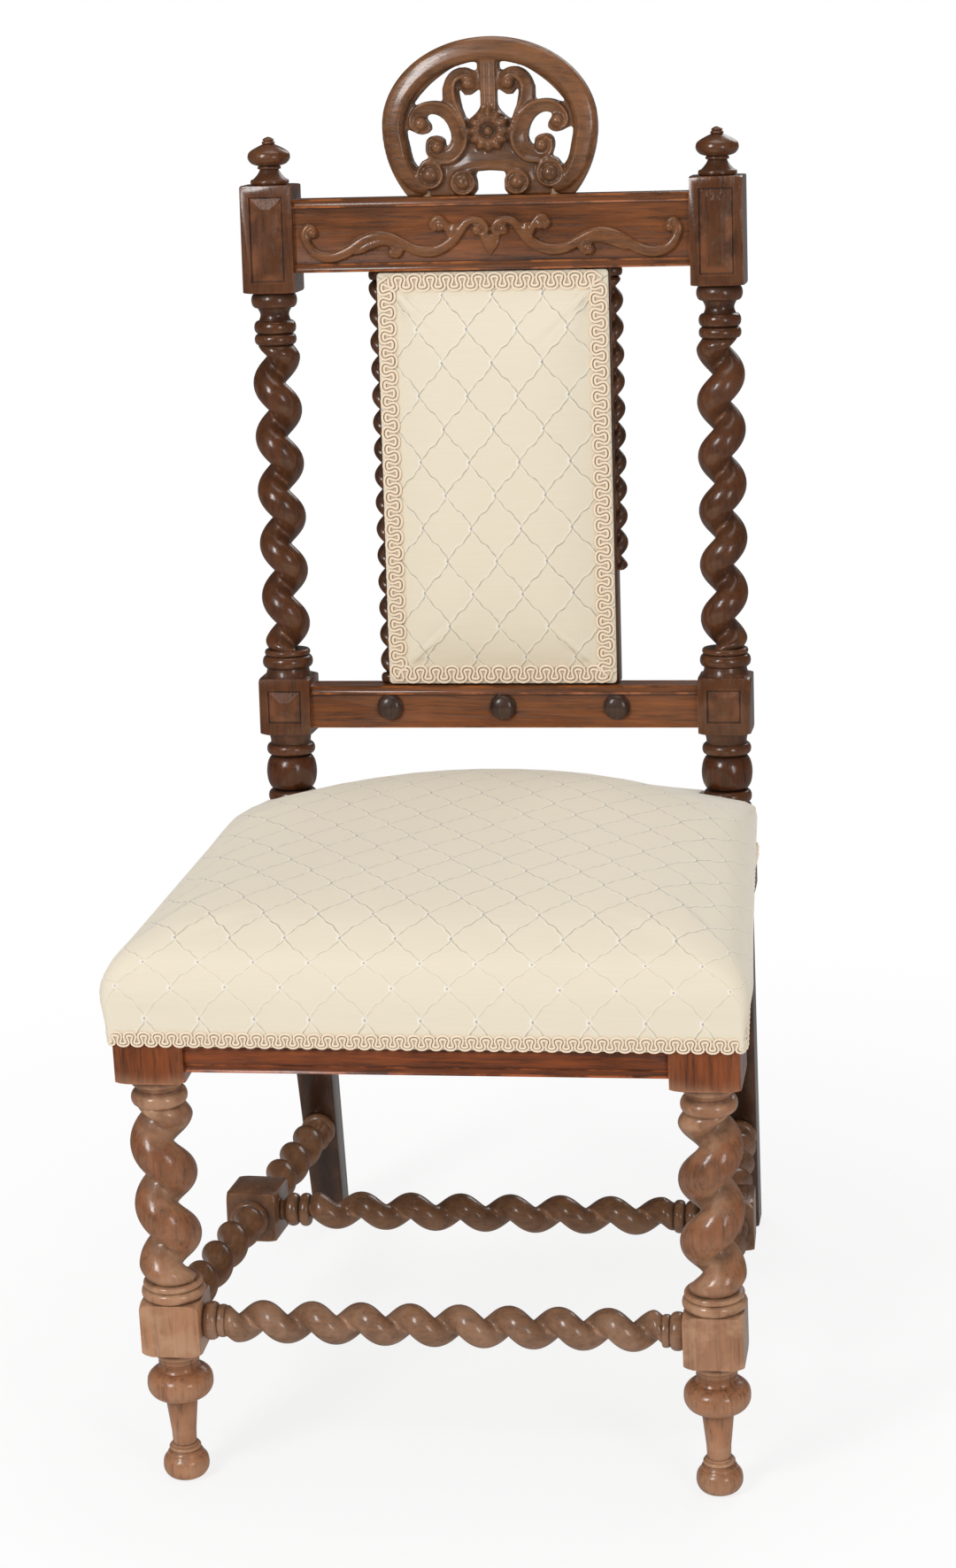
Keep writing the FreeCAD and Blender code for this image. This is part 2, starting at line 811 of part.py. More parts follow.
def side_placement(side):
    """Stands +Z of a turned piece along the side stretcher, its faces square to the floor."""
    start, run = side_axis(side)
    along = FreeCAD.Vector(run).normalize()
    across = along.cross(FreeCAD.Vector(0, 0, 1)).normalize()
    up = across.cross(along)
    return FreeCAD.Placement(start, FreeCAD.Rotation(across, up, along, "ZXY"))


def side_stretcher_hole(name, side):
    made = prism(name, d.pin_radius + d.fit_gap, d.pin_length * 2 + d.fit_gap)
    start, run = side_axis(side)
    along = FreeCAD.Vector(run).normalize()
    made.Placement = side_placement(side)
    made.Placement.Base = start + run - along * plain(d.pin_length)
    return made


def front_leg(side_name, side):
    name = "front_leg_" + side_name
    turning = Turning()
    turning.swell(d.foot_rest_radius, d.foot_radius, d.foot_height, FOOT_SHARES)
    turning.straight(d.ankle_radius, d.ankle_height)
    turning.to(d.taper_low_radius)
    turning.to(d.taper_high_radius, d.taper_height)
    turning.swell(d.taper_high_radius, d.bulb_radius, d.bulb_height, BULB_SHARES)
    turning.straight(d.leg_neck_radius, d.leg_neck_height)
    turning.straight(d.leg_neck_radius, d.leg_block_height)
    turning.ring(d.leg_ring_radius, d.leg_ring_height)
    turning.to(d.leg_bead_radius, d.leg_bead_height)
    turning.straight(d.leg_twist_offset / 2, d.leg_twist_height)
    turning.ring(d.leg_top_ring_radius, d.leg_top_ring_height)
    turning.to(d.leg_top_collar_radius, d.leg_top_collar_height)
    core = turning.turned(name + "_core", MEMBER_SIDES)
    strand = twist(
        name + "_strand",
        d.leg_twist_radius,
        d.leg_twist_offset,
        d.leg_twist_pitch,
        d.leg_twist_height,
        d.leg_twist_phase,
        side,
        0 if side > 0 else 180,
    )
    place(strand, z=leg_twist_low)
    half = d.leg_block_side / 2
    low_block = box(name + "_block", (-half, -half, leg_block_low), (half, half, leg_block_high))
    top_block = box(name + "_top", (-top_half, -top_half, leg_top_low), (top_half, top_half, hip_top))
    blank = place(fuse(name + "_blank", [core, strand, low_block, top_block]), leg_half * side, front_y)
    reach = d.pin_length + d.fit_gap
    hole = pin(
        name + "_front_hole",
        d.pin_radius + d.fit_gap,
        reach + d.overrun,
        ((leg_half - half - d.overrun) * side, front_y, d.stretcher_height),
        (0, side, 0),
        QUARTER,
    )
    back_hole = prism(name + "_side_hole", d.pin_radius + d.fit_gap, d.pin_length * 2 + d.fit_gap)
    start, run = side_axis(side)
    along = FreeCAD.Vector(run).normalize()
    back_hole.Placement = side_placement(side)
    back_hole.Placement.Base = start - along * (plain(d.pin_length) + plain(d.fit_gap))
    tools = [
        hole,
        back_hole,
        seat_mortise(name + "_front_mortise", side, "front", d.fit_gap),
        seat_mortise(name + "_side_mortise", side, "side", d.fit_gap),
    ]
    return finish_node(cut(name, blank, tools), name)


def finial(side_name, side):
    name = "finial_" + side_name
    turning = Turning()
    turning.straight(d.spigot_radius, d.spigot_length)
    turning.straight(d.flange_radius, d.flange_height)
    turning.to(d.flange_radius - d.ring_round)
    turning.to(d.finial_neck_radius, d.finial_neck_height)
    turning.straight(d.collet_radius, d.collet_height)
    turning.swell(d.knob_end_radius, d.knob_radius, d.knob_height, KNOB_SHARES)
    turning.to(d.tip_radius, d.tip_height / 2)
    turning.to(d.tip_radius, d.tip_height / 2)
    made = turning.turned(name)
    lift = top_block_high - d.spigot_length
    rake = math.radians(plain(d.back_rake))
    up = FreeCAD.Vector(0, math.sin(rake), math.cos(rake)) * plain(lift)
    return place(made, half_spacing * side, hip_y + up.y, hip_top + up.z, (-1, 0, 0), d.back_rake)


def finials():
    group = doc.addObject("Part::Compound", "finials")
    group.Links = [finial(side_name, side) for side_name, side in sides.items()]
    return finish_node(group, "finials")


def rail_section(low, high, bottom_bead=True):
    """Section of a back rail, as (depth, height) points, with its beads standing proud."""
    bead = d.rail_bead
    proud = rail_front - d.rail_bead_proud
    points = [(rail_back, low), (rail_back, high)]
    points += [(proud, high), (proud, high - bead), (rail_front, high - bead)]
    if bottom_bead:
        points += [(rail_front, low + bead), (proud, low + bead), (proud, low)]
    else:
        points += [(rail_front, low)]
    arcs = {2: (bead * BEAD_ROUND_SHARE, -1)}
    if bottom_bead:
        arcs[6] = (bead * BEAD_ROUND_SHARE, -1)
    return points, arcs


def back_rail(name, low, high, bottom_bead):
    points, arcs = rail_section(low, high, bottom_bead)
    length = d.rear_post_spacing - d.post_block_side
    made = padded(name + "_moulding", "YZ_Plane", points, length, arcs, midplane=True)
    half = length / 2 + d.tenon_length
    tenon = box(
        name + "_tenons",
        (-half, rail_middle - d.tenon_thickness / 2, low + d.tenon_shoulder),
        (half, rail_middle + d.tenon_thickness / 2, high - d.tenon_shoulder),
    )
    return fuse(name + "_blank", [made, tenon])


def stub_box(name, side, tag, gap):
    """The stub tenon at the low or top end of a panel stile, or its mortise with a gap."""
    centre = (d.panel_half_width - d.stile_width / 2) * side
    face, way = (low_rail_high, -1) if tag == "low" else (top_rail_low, 1)
    near = face - (d.overrun if plain(gap) else ZERO) * way
    far = face + (d.stub_length + gap) * way
    zs = sorted((near, far), key=plain)
    half = d.stub_thickness / 2 + gap
    return box(
        name,
        (centre - half, stile_middle - half, zs[0]),
        (centre + half, stile_middle + half, zs[1]),
    )


stile_front = d.stile_setback - post_half
stile_back = stile_front + d.stile_thickness
stile_middle = (stile_front + stile_back) / 2


def top_rail():
    blank = back_rail("top_rail", top_rail_low, top_rail_high, True)
    holes = [
        stub_box("top_rail_stub_" + side_name, side, "top", d.fit_gap)
        for side_name, side in sides.items()
    ]
    holes += crest_dowel_solids("top_rail_dowel_hole", d.fit_gap)
    made = cut("top_rail", blank, holes)
    return finish_node(place_in_back(made), "top_rail")


def low_rail():
    blank = back_rail("lower_back_rail", low_rail_low, low_rail_high, False)
    holes = [
        stub_box("low_rail_stub_" + side_name, side, "low", d.fit_gap)
        for side_name, side in sides.items()
    ]
    for i in (-1, 0, 1):
        holes.append(
            pin(
                "button_hole_%d" % (i + 1),
                d.button_pin_radius + d.fit_gap,
                d.button_pin_length + d.fit_gap + d.overrun,
                (d.button_spread * i, rail_front - d.overrun, button_z),
                (-1, 0, 0),
                QUARTER,
            )
        )
    made = cut("lower_back_rail", blank, holes)
    return finish_node(place_in_back(made), "lower_back_rail")


button_z = (low_rail_low + low_rail_high - d.rail_bead) / 2


def rail_buttons():
    """Three turned buttons on the lower rail, each with its pin in the rail."""
    made = []
    for i in (-1, 0, 1):
        turning = Turning()
        turning.straight(d.button_pin_radius, d.button_pin_length)
        turning.to(d.button_radius)
        turning.to(d.button_radius, d.button_height / 4)
        for across, up in BUTTON_DOME_SHARES:
            turning.to(d.button_radius * across, d.button_height * up)
        one = turning.turned("rail_button_%d" % (i + 1))
        place(one, d.button_spread * i, rail_front + d.button_pin_length, button_z, (1, 0, 0), QUARTER)
        made.append(one)
    group = doc.addObject("Part::Compound", "rail_buttons")
    group.Links = made
    return finish_node(place_in_back(group), "rail_buttons")


# Crest: shares of the half width and of the height, from the middle of its foot

crest_crescent_shares = (
    (-0.10, 0.840), (-0.31, 0.817), (-0.47, 0.750), (-0.62, 0.660), (-0.71, 0.575),
    (-0.58, 0.592), (-0.43, 0.567), (-0.43, 0.650), (-0.40, 0.728), (-0.32, 0.784),
    (-0.21, 0.801), (-0.11, 0.784),
)
crest_eye_shares = (
    (-0.265, 0.672), (-0.143, 0.644), (-0.090, 0.672), (-0.078, 0.561), (-0.143, 0.505),
    (-0.208, 0.478), (-0.240, 0.517), (-0.265, 0.583),
)
crest_scroll_shares = (
    (-0.583, 0.511), (-0.518, 0.519), (-0.419, 0.483), (-0.362, 0.405), (-0.366, 0.338),
    (-0.410, 0.305), (-0.420, 0.352), (-0.480, 0.380), (-0.570, 0.372), (-0.600, 0.320),
    (-0.585, 0.270), (-0.570, 0.225), (-0.630, 0.172), (-0.690, 0.190), (-0.740, 0.262),
    (-0.764, 0.345), (-0.768, 0.425), (-0.700, 0.408), (-0.600, 0.392), (-0.540, 0.440),
)
crest_arch_shares = ((-0.166, 0.0), (-0.130, 0.080), (-0.145, 0.138), (0.0, 0.156))


def crest_point(shares, side=1):
    across = plain(d.crest_half_width) * shares[0] * side
    return FreeCAD.Vector(across, 0, plain(top_rail_high) + plain(d.crest_height) * shares[1])


def chords_along(curve, count):
    """Short straight edges that follow a curve from end to end."""
    first, last = curve.FirstParameter, curve.LastParameter
    points = [curve.value(first + (last - first) * i / count) for i in range(count + 1)]
    return [Part.makeLine(a, b) for a, b in zip(points, points[1:])]


def crest_edge(inset):
    """The rim, as an arc up each side and half an ellipse over the top."""
    half = plain(d.crest_half_width) - inset
    eye = plain(d.crest_eye_height)
    rise = plain(d.crest_height) - eye - inset
    base = plain(top_rail_high)
    foot = math.sqrt(half * half - eye * eye)
    middle = FreeCAD.Vector(0, 0, base + eye)
    over = Part.Ellipse(
        middle + FreeCAD.Vector(half, 0, 0), middle + FreeCAD.Vector(0, 0, rise), middle
    )
    low = -eye * 0.5
    bow = math.sqrt(half * half - low * low)
    rim = Part.ArcOfEllipse(over, 0, math.pi)
    if rim.value((rim.FirstParameter + rim.LastParameter) / 2).z < base + eye:
        rim = Part.ArcOfEllipse(over, math.pi, 2 * math.pi)
    edges = chords_along(rim, 22)
    for side in (-1, 1):
        arc = Part.Arc(
            middle + FreeCAD.Vector(half * side, 0, 0),
            middle + FreeCAD.Vector(bow * side, 0, low),
            FreeCAD.Vector(foot * side, 0, base),
        )
        edges.append(arc.toShape())
    feet = FreeCAD.Vector(foot, 0, base)
    edges.append(Part.makeLine(feet, FreeCAD.Vector(-foot, 0, base)))
    return Part.Wire(Part.__sortEdges__(edges))


def crest_plate(wire):
    """A wire in the crest's plane, given the crest's thickness."""
    plate = Part.Face(wire).extrude(FreeCAD.Vector(0, plain(d.crest_thickness), 0))
    plate.translate(FreeCAD.Vector(0, plain(rail_middle) - plain(d.crest_thickness) / 2, 0))
    return plate


def crest():
    solid = crest_plate(crest_edge(0.0))
    for shares in (crest_crescent_shares, crest_eye_shares, crest_scroll_shares):
        for side in (-1, 1):
            curve = Part.BSplineCurve()
            curve.interpolate([crest_point(p, side) for p in shares], PeriodicFlag=True)
            solid = solid.cut(crest_plate(Part.Wire(chords_along(curve, len(shares) * 2))))
    left = [crest_point(p) for p in crest_arch_shares]
    right = [crest_point(p, -1) for p in reversed(crest_arch_shares[:-1])]
    curve = Part.BSplineCurve()
    curve.interpolate(left + right)
    closing = Part.makeLine(right[-1], left[0])
    solid = solid.cut(crest_plate(Part.Wire(chords_along(curve, 12) + [closing])))
    made = doc.addObject("Part::Feature", "crest_board")
    made.Shape = solid
    holes = crest_dowel_solids("crest_dowel_hole", d.fit_gap)
    return finish_node(place_in_back(cut("crest", made, holes)), "crest")


def crest_dowel_solids(name, gap):
    """Dowels between the crest's two feet and the top rail, or their holes with a gap."""
    made = []
    for side_name, side in sides.items():
        low = top_rail_high - d.crest_dowel_length / 2 - gap
        made.append(
            pin(
                "%s_%s" % (name, side_name),
                d.crest_dowel_radius + gap,
                d.crest_dowel_length + gap * 2,
                (d.crest_dowel_spread * side, rail_middle, low),
                sides=DOWEL_SIDES,
            )
        )
    return made


def crest_dowels():
    group = doc.addObject("Part::Compound", "crest_dowels")
    group.Links = crest_dowel_solids("crest_dowel", ZERO)
    return finish_node(place_in_back(group), "crest_dowels")


def panel_stile(side_name, side):
    name = "panel_stile_" + side_name
    xs = sorted(((d.panel_half_width - d.stile_width) * side, d.panel_half_width * side), key=plain)
    post = box(name + "_upright", (xs[0], stile_front, low_rail_high), (xs[1], stile_back, top_rail_low))
    stubs = [stub_box("%s_stub_%s" % (name, tag), side, tag, ZERO) for tag in ("low", "top")]
    return finish_node(place_in_back(fuse(name, [post] + stubs)), name)


def panel_rails():
    """The two short rails between the stiles, behind the upholstery."""
    inner = d.panel_half_width - d.stile_width
    for tag, low in (
        ("upper", top_rail_low - d.panel_rail_height),
        ("lower", low_rail_high),
    ):
        high = low + d.panel_rail_height
        made = box("panel_rail_" + tag, (-inner, stile_front, low), (inner, stile_back, high))
        finish_node(place_back_box(made), "panel_rail_" + tag)


def place_back_box(made):
    """Wrap a box that already has a place, so that the whole can lean with the back."""
    group = doc.addObject("Part::Compound", made.Name + "_leaning")
    group.Links = [made]
    return place_in_back(group)


def half_twist_strip(side_name, side):
    """A twisted turning split in half and glued to the outer side of a stile."""
    name = "half_twist_strip_" + side_name
    full = top_rail_low - low_rail_high
    length = full if side < 0 else d.right_strip_length
    low = top_rail_low - length
    strand = half_twist(
        name + "_strand",
        d.strip_radius,
        d.strip_offset,
        d.strip_pitch,
        length - d.strip_end * (2 if side < 0 else 1),
        side,
        side,
    )
    place(strand, d.panel_half_width * side, stile_middle, low + (d.strip_end if side < 0 else ZERO))
    turning = Turning()
    turning.ring(d.strip_radius + d.strip_offset, d.strip_end)
    ends = [turning.turned(name + "_end_top")]
    place(ends[0], d.panel_half_width * side, stile_middle, top_rail_low - d.strip_end)
    if side < 0:
        ends.append(turning.turned(name + "_end_low"))
        place(ends[1], d.panel_half_width * side, stile_middle, low)
    reach = (d.strip_radius + d.strip_offset) * 2
    xs = sorted((d.panel_half_width * side, (d.panel_half_width - reach) * side), key=plain)
    waste = box(
        name + "_waste",
        (xs[0], stile_middle - reach, low - d.overrun),
        (xs[1], stile_middle + reach, top_rail_low + d.overrun),
    )
    halves = cut(name + "_ends", ends[0] if side > 0 else fuse(name + "_turned_ends", ends), [waste])
    return finish_node(place_in_back(fuse(name, [strand, halves])), name)


def rectangle(half_width, low, high, y, corner):
    """A closed upright wire in the back's plane, its corners rounded."""
    points = [(-half_width, low), (half_width, low), (half_width, high), (-half_width, high)]
    return rounded([FreeCAD.Vector(x, y, z) for x, z in points], corner)


def rounded(points, radius):
    """A closed wire of lines through points, with an arc at each, of one radius or of its own."""
    edges = []
    joints = []
    count = len(points)
    radii = radius if isinstance(radius, tuple) else (radius,) * count
    for i, radius in enumerate(radii):
        here = points[i]
        before = (points[i - 1] - here).normalize()
        after = (points[(i + 1) % count] - here).normalize()
        half_angle = before.getAngle(after) / 2
        step = radius / math.tan(half_angle)
        out = (before + after).normalize()
        centre = here + out * (radius / math.sin(half_angle))
        joints.append((here + before * step, centre - out * radius, here + after * step))
    for i in range(count):
        edges.append(Part.Arc(*joints[i]).toShape())
        edges.append(Part.makeLine(joints[i][2], joints[(i + 1) % count][0]))
    return Part.Wire(edges)


def feature(name, shape):
    made = doc.addObject("Part::Feature", name)
    made.Shape = shape
    return made


def back_webbing():
    """Two upright strips and three across, tacked to the front of the panel frame."""
    half = plain(d.panel_half_width) - plain(d.stile_width) / 2
    low = plain(low_rail_high) + plain(d.panel_rail_height) / 2
    high = plain(top_rail_low) - plain(d.panel_rail_height) / 2
    front = plain(stile_front)
    thick = plain(d.web_thickness)
    width = plain(d.web_width)
    strips = []
    for i in range(BACK_WEBS_UP):
        x = (i - (BACK_WEBS_UP - 1) / 2) * (width + plain(d.web_gap)) - width / 2
        strips.append(Part.makeBox(width, thick, high - low, FreeCAD.Vector(x, front - thick, low)))
    step = (high - low) / BACK_WEBS_ACROSS
    for i in range(BACK_WEBS_ACROSS):
        z = low + step * i + (step - width) / 2
        strips.append(Part.makeBox(half * 2, thick, width, FreeCAD.Vector(-half, front - thick * 2, z)))
    return finish_node(place_in_back(feature("back_webbing", Part.makeCompound(strips))), "back_webbing")


pad_back = stile_front - d.web_thickness * 2 - d.soft_gap
pad_half = d.panel_half_width - d.cover_thickness
pad_low = low_rail_high + d.cover_thickness
pad_high = top_rail_low - d.cover_thickness


# across in shares of the slope's width, up in shares of the crown
PAD_FIELD_SHARES = ((0.0, 0.0), (0.35, 0.65), (1.0, 0.92), (2.6, 1.0))


def back_pad():
    """The stuffed front of the panel: a flat border under the braid, then a slope up to a
    slightly crowned field."""
    half, low, high = plain(pad_half), plain(pad_low), plain(pad_high)
    border = plain(pad_back - d.back_pad_border)
    corner = plain(d.back_pad_corner)
    edge = [rectangle(half, low, high, y, corner) for y in (plain(pad_back), border)]
    levels = []
    for across, up in PAD_FIELD_SHARES:
        inset = plain(d.gimp_width) + plain(d.back_pad_slope) * across
        y = border - plain(d.back_pad_crown) * up
        levels.append(rectangle(half - inset, low + inset, high - inset, y, corner + plain(d.back_pad_border) * up))
    solid = Part.makeLoft(edge, True, True).fuse(Part.makeLoft(levels, True, True))
    return finish_node(place_in_back(feature("back_pad", solid)), "back_pad")


def back_gimp():
    """The braid round the front of the panel, a flat loop on the pad's border."""
    half, low, high = plain(pad_half), plain(pad_low), plain(pad_high)
    border = plain(pad_back - d.back_pad_border)
    width = plain(d.gimp_width) - plain(d.soft_gap)
    corner = plain(d.back_pad_corner)
    outer = rectangle(half, low, high, border, corner)
    inner = rectangle(half - width, low + width, high - width, border, corner)
    loop = Part.Face(outer).cut(Part.Face(inner)).extrude(FreeCAD.Vector(0, -plain(d.gimp_thickness), 0))
    return finish_node(place_in_back(feature("back_gimp", loop)), "back_gimp")


def back_cover():
    """The flat outside back, tacked to the rear of the stiles and panel rails."""
    half, low, high = plain(pad_half), plain(pad_low), plain(pad_high)
    sheet_solid = Part.makeBox(
        half * 2, plain(d.cover_thickness), high - low, FreeCAD.Vector(-half, plain(stile_back), low)
    )
    return finish_node(place_in_back(feature("outside_back_cover", sheet_solid)), "outside_back_cover")


def end_tenons(name, which):
    """The tenons at both ends of a seat rail, the counterparts of the mortises there."""
    return [seat_mortise("%s_tenon_%s" % (name, tag), side, which, ZERO) for tag, side in sides.items()]


def seat_rail_front_node():
    name = "seat_rail_front"
    front, back = seat_rail_front, seat_rail_front + d.seat_rail_thickness
    low, high = d.seat_rail_low, hip_top
    bead = d.seat_rail_bead
    proud = front - d.rail_bead_proud / 2
    points = [(back, low), (back, high), (front, high)]
    points += [(front, low + bead), (proud, low + bead), (proud, low)]
    arcs = {4: (bead * BEAD_ROUND_SHARE, -1)}
    length = d.front_leg_spacing - d.leg_top_block_side
    rail = padded(name + "_moulding", "YZ_Plane", points, length, arcs, midplane=True)
    return finish_node(fuse(name, [rail] + end_tenons(name, "front")), name)


def seat_rail_back_node():
    name = "seat_rail_back"
    half = post_inner
    middle = d.seat_rail_thickness / 2
    centre = hip_y + middle / 2
    rail = box(name + "_board", (-half, centre - middle, d.seat_rail_low), (half, centre + middle, hip_top))
    return finish_node(fuse(name, [rail] + end_tenons(name, "back")), name)


def seat_rail_side_node(side_name, side):
    name = "seat_rail_" + side_name
    start, end = front_y + top_half, hip_y - post_half
    thick = d.seat_rail_thickness
    points = [
        (side_rail_x(side, start, ZERO), start),
        (side_rail_x(side, end, ZERO), end),
        (side_rail_x(side, end, thick), end),
        (side_rail_x(side, start, thick), start),
    ]
    rail = padded(name + "_board", "XY_Plane", points, seat_rail_height, lift=d.seat_rail_low)
    tenons = [
        seat_mortise(name + "_front_tenon", side, "side", ZERO),
        seat_mortise(name + "_rear_tenon", side, "rear", ZERO),
    ]
    return finish_node(fuse(name, [rail] + tenons), name)


def corner_blocks():
    """Glued blocks inside the four corners of the seat frame, cut to pass the legs."""
    gap = d.fit_gap
    thick = d.seat_rail_thickness
    reach = d.corner_block_reach
    rail_in = seat_rail_front + thick
    leg_back = front_y + top_half + gap
    leg_in = leg_half - top_half - gap
    front_end = leg_back + reach
    hip_front = hip_y - post_half - gap
    hip_in = half_spacing - post_half - gap
    back_in = hip_y + thick / 4 - thick / 2
    back_end = hip_front - reach
    for tag, corners in (
        (
            "front",
            [
                (leg_in - reach, rail_in),
                (leg_in, rail_in),
                (leg_in, leg_back),
                (side_rail_x(1, leg_back, thick) - gap, leg_back),
                (side_rail_x(1, front_end, thick) - gap, front_end),
            ],
        ),
        (
            "back",
            [
                (hip_in - reach, back_in),
                (hip_in, back_in),
                (hip_in, hip_front),
                (side_rail_x(1, hip_front, thick) - gap, hip_front),
                (side_rail_x(1, back_end, thick) - gap, back_end),
            ],
        ),
    ):
        made = []
        for side_name, side in sides.items():
            points = [(x * side, y) for x, y in corners]
            one = padded(
                "corner_block_%s_%s" % (tag, side_name),
                "XY_Plane",
                points,
                d.corner_block_height,
                lift=hip_top - d.corner_block_height - d.web_thickness * 4,
            )
            made.append(one)
        group = doc.addObject("Part::Compound", "corner_blocks_" + tag)
        group.Links = made
        finish_node(group, "corner_blocks_" + tag)


def seat_plan(inset, z, radius):
    """The seat's plan as a closed rounded wire at a height, inset from the rails' outer faces."""
    front = plain(seat_rail_front) + inset
    back = plain(hip_y + post_half) - inset
    near = plain(side_rail_x(1, seat_rail_front, ZERO)) - inset
    far = plain(side_rail_x(1, hip_y + post_half, ZERO)) - inset
    corners = [(-near, front), (near, front), (far, back), (-far, back)]
    return rounded([FreeCAD.Vector(x, y, z) for x, y in corners], radius)


def post_clearance(grow):
    """Boxes round the rear posts and outward from them, which the seat's soft parts are cut
    away from."""
    half = plain(post_half) + grow
    low, high = plain(d.seat_rail_low), plain(d.seat_crown_height)
    deep = half * 2 + plain(d.shoulder_waste)
    made = []
    for side in (-1, 1):
        x = plain(half_spacing) * side
        for left in (x - half, x if side > 0 else x - half * 2):
            corner = FreeCAD.Vector(left, plain(hip_y) - half, low)
            made.append(Part.makeBox(half * 2, deep, high - low, corner))
    return made


def seat_webbing():
    """Strips tacked on top of the rails: a layer front to back and a layer side to side."""
    width, gap, thick = plain(d.web_width), plain(d.web_gap), plain(d.web_thickness)
    z = plain(hip_top)
    front = plain(seat_rail_front) + plain(d.seat_rail_thickness) / 4
    back = plain(hip_y) + plain(d.seat_rail_thickness) / 2
    strips = []
    for i in range(SEAT_WEBS):
        x = (i - (SEAT_WEBS - 1) / 2) * (width + gap) - width / 2
        strips.append(Part.makeBox(width, back - front, thick, FreeCAD.Vector(x, front, z)))
    for i in range(SEAT_WEBS):
        y = plain(front_y) + plain(top_half) + gap / 2 + i * (width + gap * 2)
        half = plain(side_rail_x(1, worked_out(y + width), d.seat_rail_thickness / 4))
        strips.append(Part.makeBox(half * 2, width, thick, FreeCAD.Vector(-half, y, z + thick)))
    return finish_node(feature("seat_webbing", Part.makeCompound(strips)), "seat_webbing")


def cut_all(shape, tools):
    for tool in tools:
        shape = shape.cut(tool)
    return shape


def seat_hessian():
    """The cloth over the webbing that the stuffing lies on."""
    z = plain(hip_top) + plain(d.web_thickness) * 2
    inset = plain(d.seat_rail_thickness) / 4
    cloth = Part.Face(seat_plan(inset, z, plain(d.skirt_corner_radius))).extrude(
        FreeCAD.Vector(0, 0, plain(d.hessian_thickness))
    )
    cloth = cut_all(cloth, post_clearance(plain(d.soft_gap)))
    return finish_node(feature("seat_hessian", cloth), "seat_hessian")


def seat_floor():
    """How high the stuffing starts, on top of the webbing and the hessian."""
    return plain(hip_top) + plain(d.web_thickness) * 2 + plain(d.hessian_thickness) + plain(d.soft_gap)


def leg_rooms(low, high):
    """Boxes round the tops of the front legs, which the seat's cover is cut away from."""
    half = plain(top_half) + plain(d.soft_gap)
    made = []
    for side in (-1, 1):
        corner = FreeCAD.Vector(plain(leg_half) * side - half, plain(front_y) - half, low)
        made.append(Part.makeBox(half * 2, half * 2, high - low, corner))
    return made


def seat_level(inset, z, corner_share):
    """One level of the seat cover, its corners rounder as it rises."""
    start = plain(d.skirt_corner_radius)
    front = start + (plain(d.seat_front_corner) - start) * corner_share
    back = start + (plain(d.seat_back_corner) - start) * corner_share
    return seat_plan(inset, z, (front, front, back, back))


# across in shares of the shoulder's depth from the widest line, up in shares of the height
# from the floor of the stuffing to the edge, and how far the corners have gone round
SEAT_SIDE_SHARES = ((0.03, 0.0, 0.04), (0.0, 0.27, 0.12), (0.08, 0.62, 0.25), (0.25, 0.91, 0.42))
# across in shares of the crown's reach from the widest line, up in shares of the rise from
# the edge to the crown, and the corners again
SEAT_CROWN_SHARES = ((0.10, 0.18, 0.6), (0.20, 0.48, 0.8), (0.42, 0.77, 1.0), (0.72, 0.94, 1.0), (1.0, 1.0, 0.9))


def seat_pad():
    """The stuffed seat under its cover: sides that swell, a soft rolled edge that draws in at
    the back corners, and a crowned top."""
    floor, edge, crown = seat_floor(), plain(d.seat_edge_height), plain(d.seat_crown_height)
    widest = -plain(d.skirt_thickness) - plain(d.seat_bulge)
    shoulder, reach = plain(d.seat_shoulder), plain(d.seat_crown_reach)
    levels = []
    for across, up, corner in SEAT_SIDE_SHARES:
        levels.append(seat_level(widest + shoulder * across, floor + (edge - floor) * up, corner))
    for across, up, corner in SEAT_CROWN_SHARES:
        levels.append(seat_level(widest + reach * across, edge + (crown - edge) * up, corner))
    solid = cut_all(Part.makeLoft(levels, True, True), post_clearance(plain(d.soft_gap)))
    return finish_node(feature("seat_pad", solid), "seat_pad")


def seat_cover_skirt():
    """The lower edge of the seat cover, drawn down over the rails and the tops of the legs."""
    low, gap = plain(d.skirt_low), plain(d.soft_gap)
    high = seat_floor() - gap
    skirt, swell = plain(d.skirt_thickness), plain(d.seat_bulge) - plain(d.seat_shoulder) * SEAT_SIDE_SHARES[0][0]
    levels = [
        seat_level(-skirt, low, 0),
        seat_level(-skirt, low + plain(d.gimp_width) + gap, 0),
        seat_level(-skirt - swell, high, SEAT_SIDE_SHARES[0][2]),
    ]
    under = plain(d.overrun)
    room = Part.Face(seat_plan(-gap, low - under, gap)).extrude(FreeCAD.Vector(0, 0, high - low + under * 2))
    solid = Part.makeLoft(levels, True, True).cut(room)
    solid = cut_all(solid, post_clearance(gap) + leg_rooms(low - under, high + under))
    return finish_node(feature("seat_cover_skirt", solid), "seat_cover_skirt")


def seat_gimp():
    """The braid along the lower edge of the seat cover, round the front and sides and again
    across the back between the posts."""
    skirt = plain(d.skirt_thickness) + plain(d.soft_gap)
    corner = plain(d.skirt_corner_radius)
    low = plain(d.skirt_low)
    thick = plain(d.gimp_thickness)
    outer = seat_plan(-skirt - thick, low, corner + thick)
    inner = seat_plan(-skirt, low, corner)
    loop = Part.Face(outer).cut(Part.Face(inner)).extrude(FreeCAD.Vector(0, 0, plain(d.gimp_width)))
    loop = cut_all(loop, post_clearance(plain(d.soft_gap)))
    return finish_node(feature("seat_gimp", loop), "seat_gimp")


def end_mouldings(turning):
    turning.straight(d.pin_radius, d.pin_length)
    turning.ring(d.end_ring_radius, d.end_ring_width)
    turning.straight(d.end_collar_radius, d.end_collar_width)


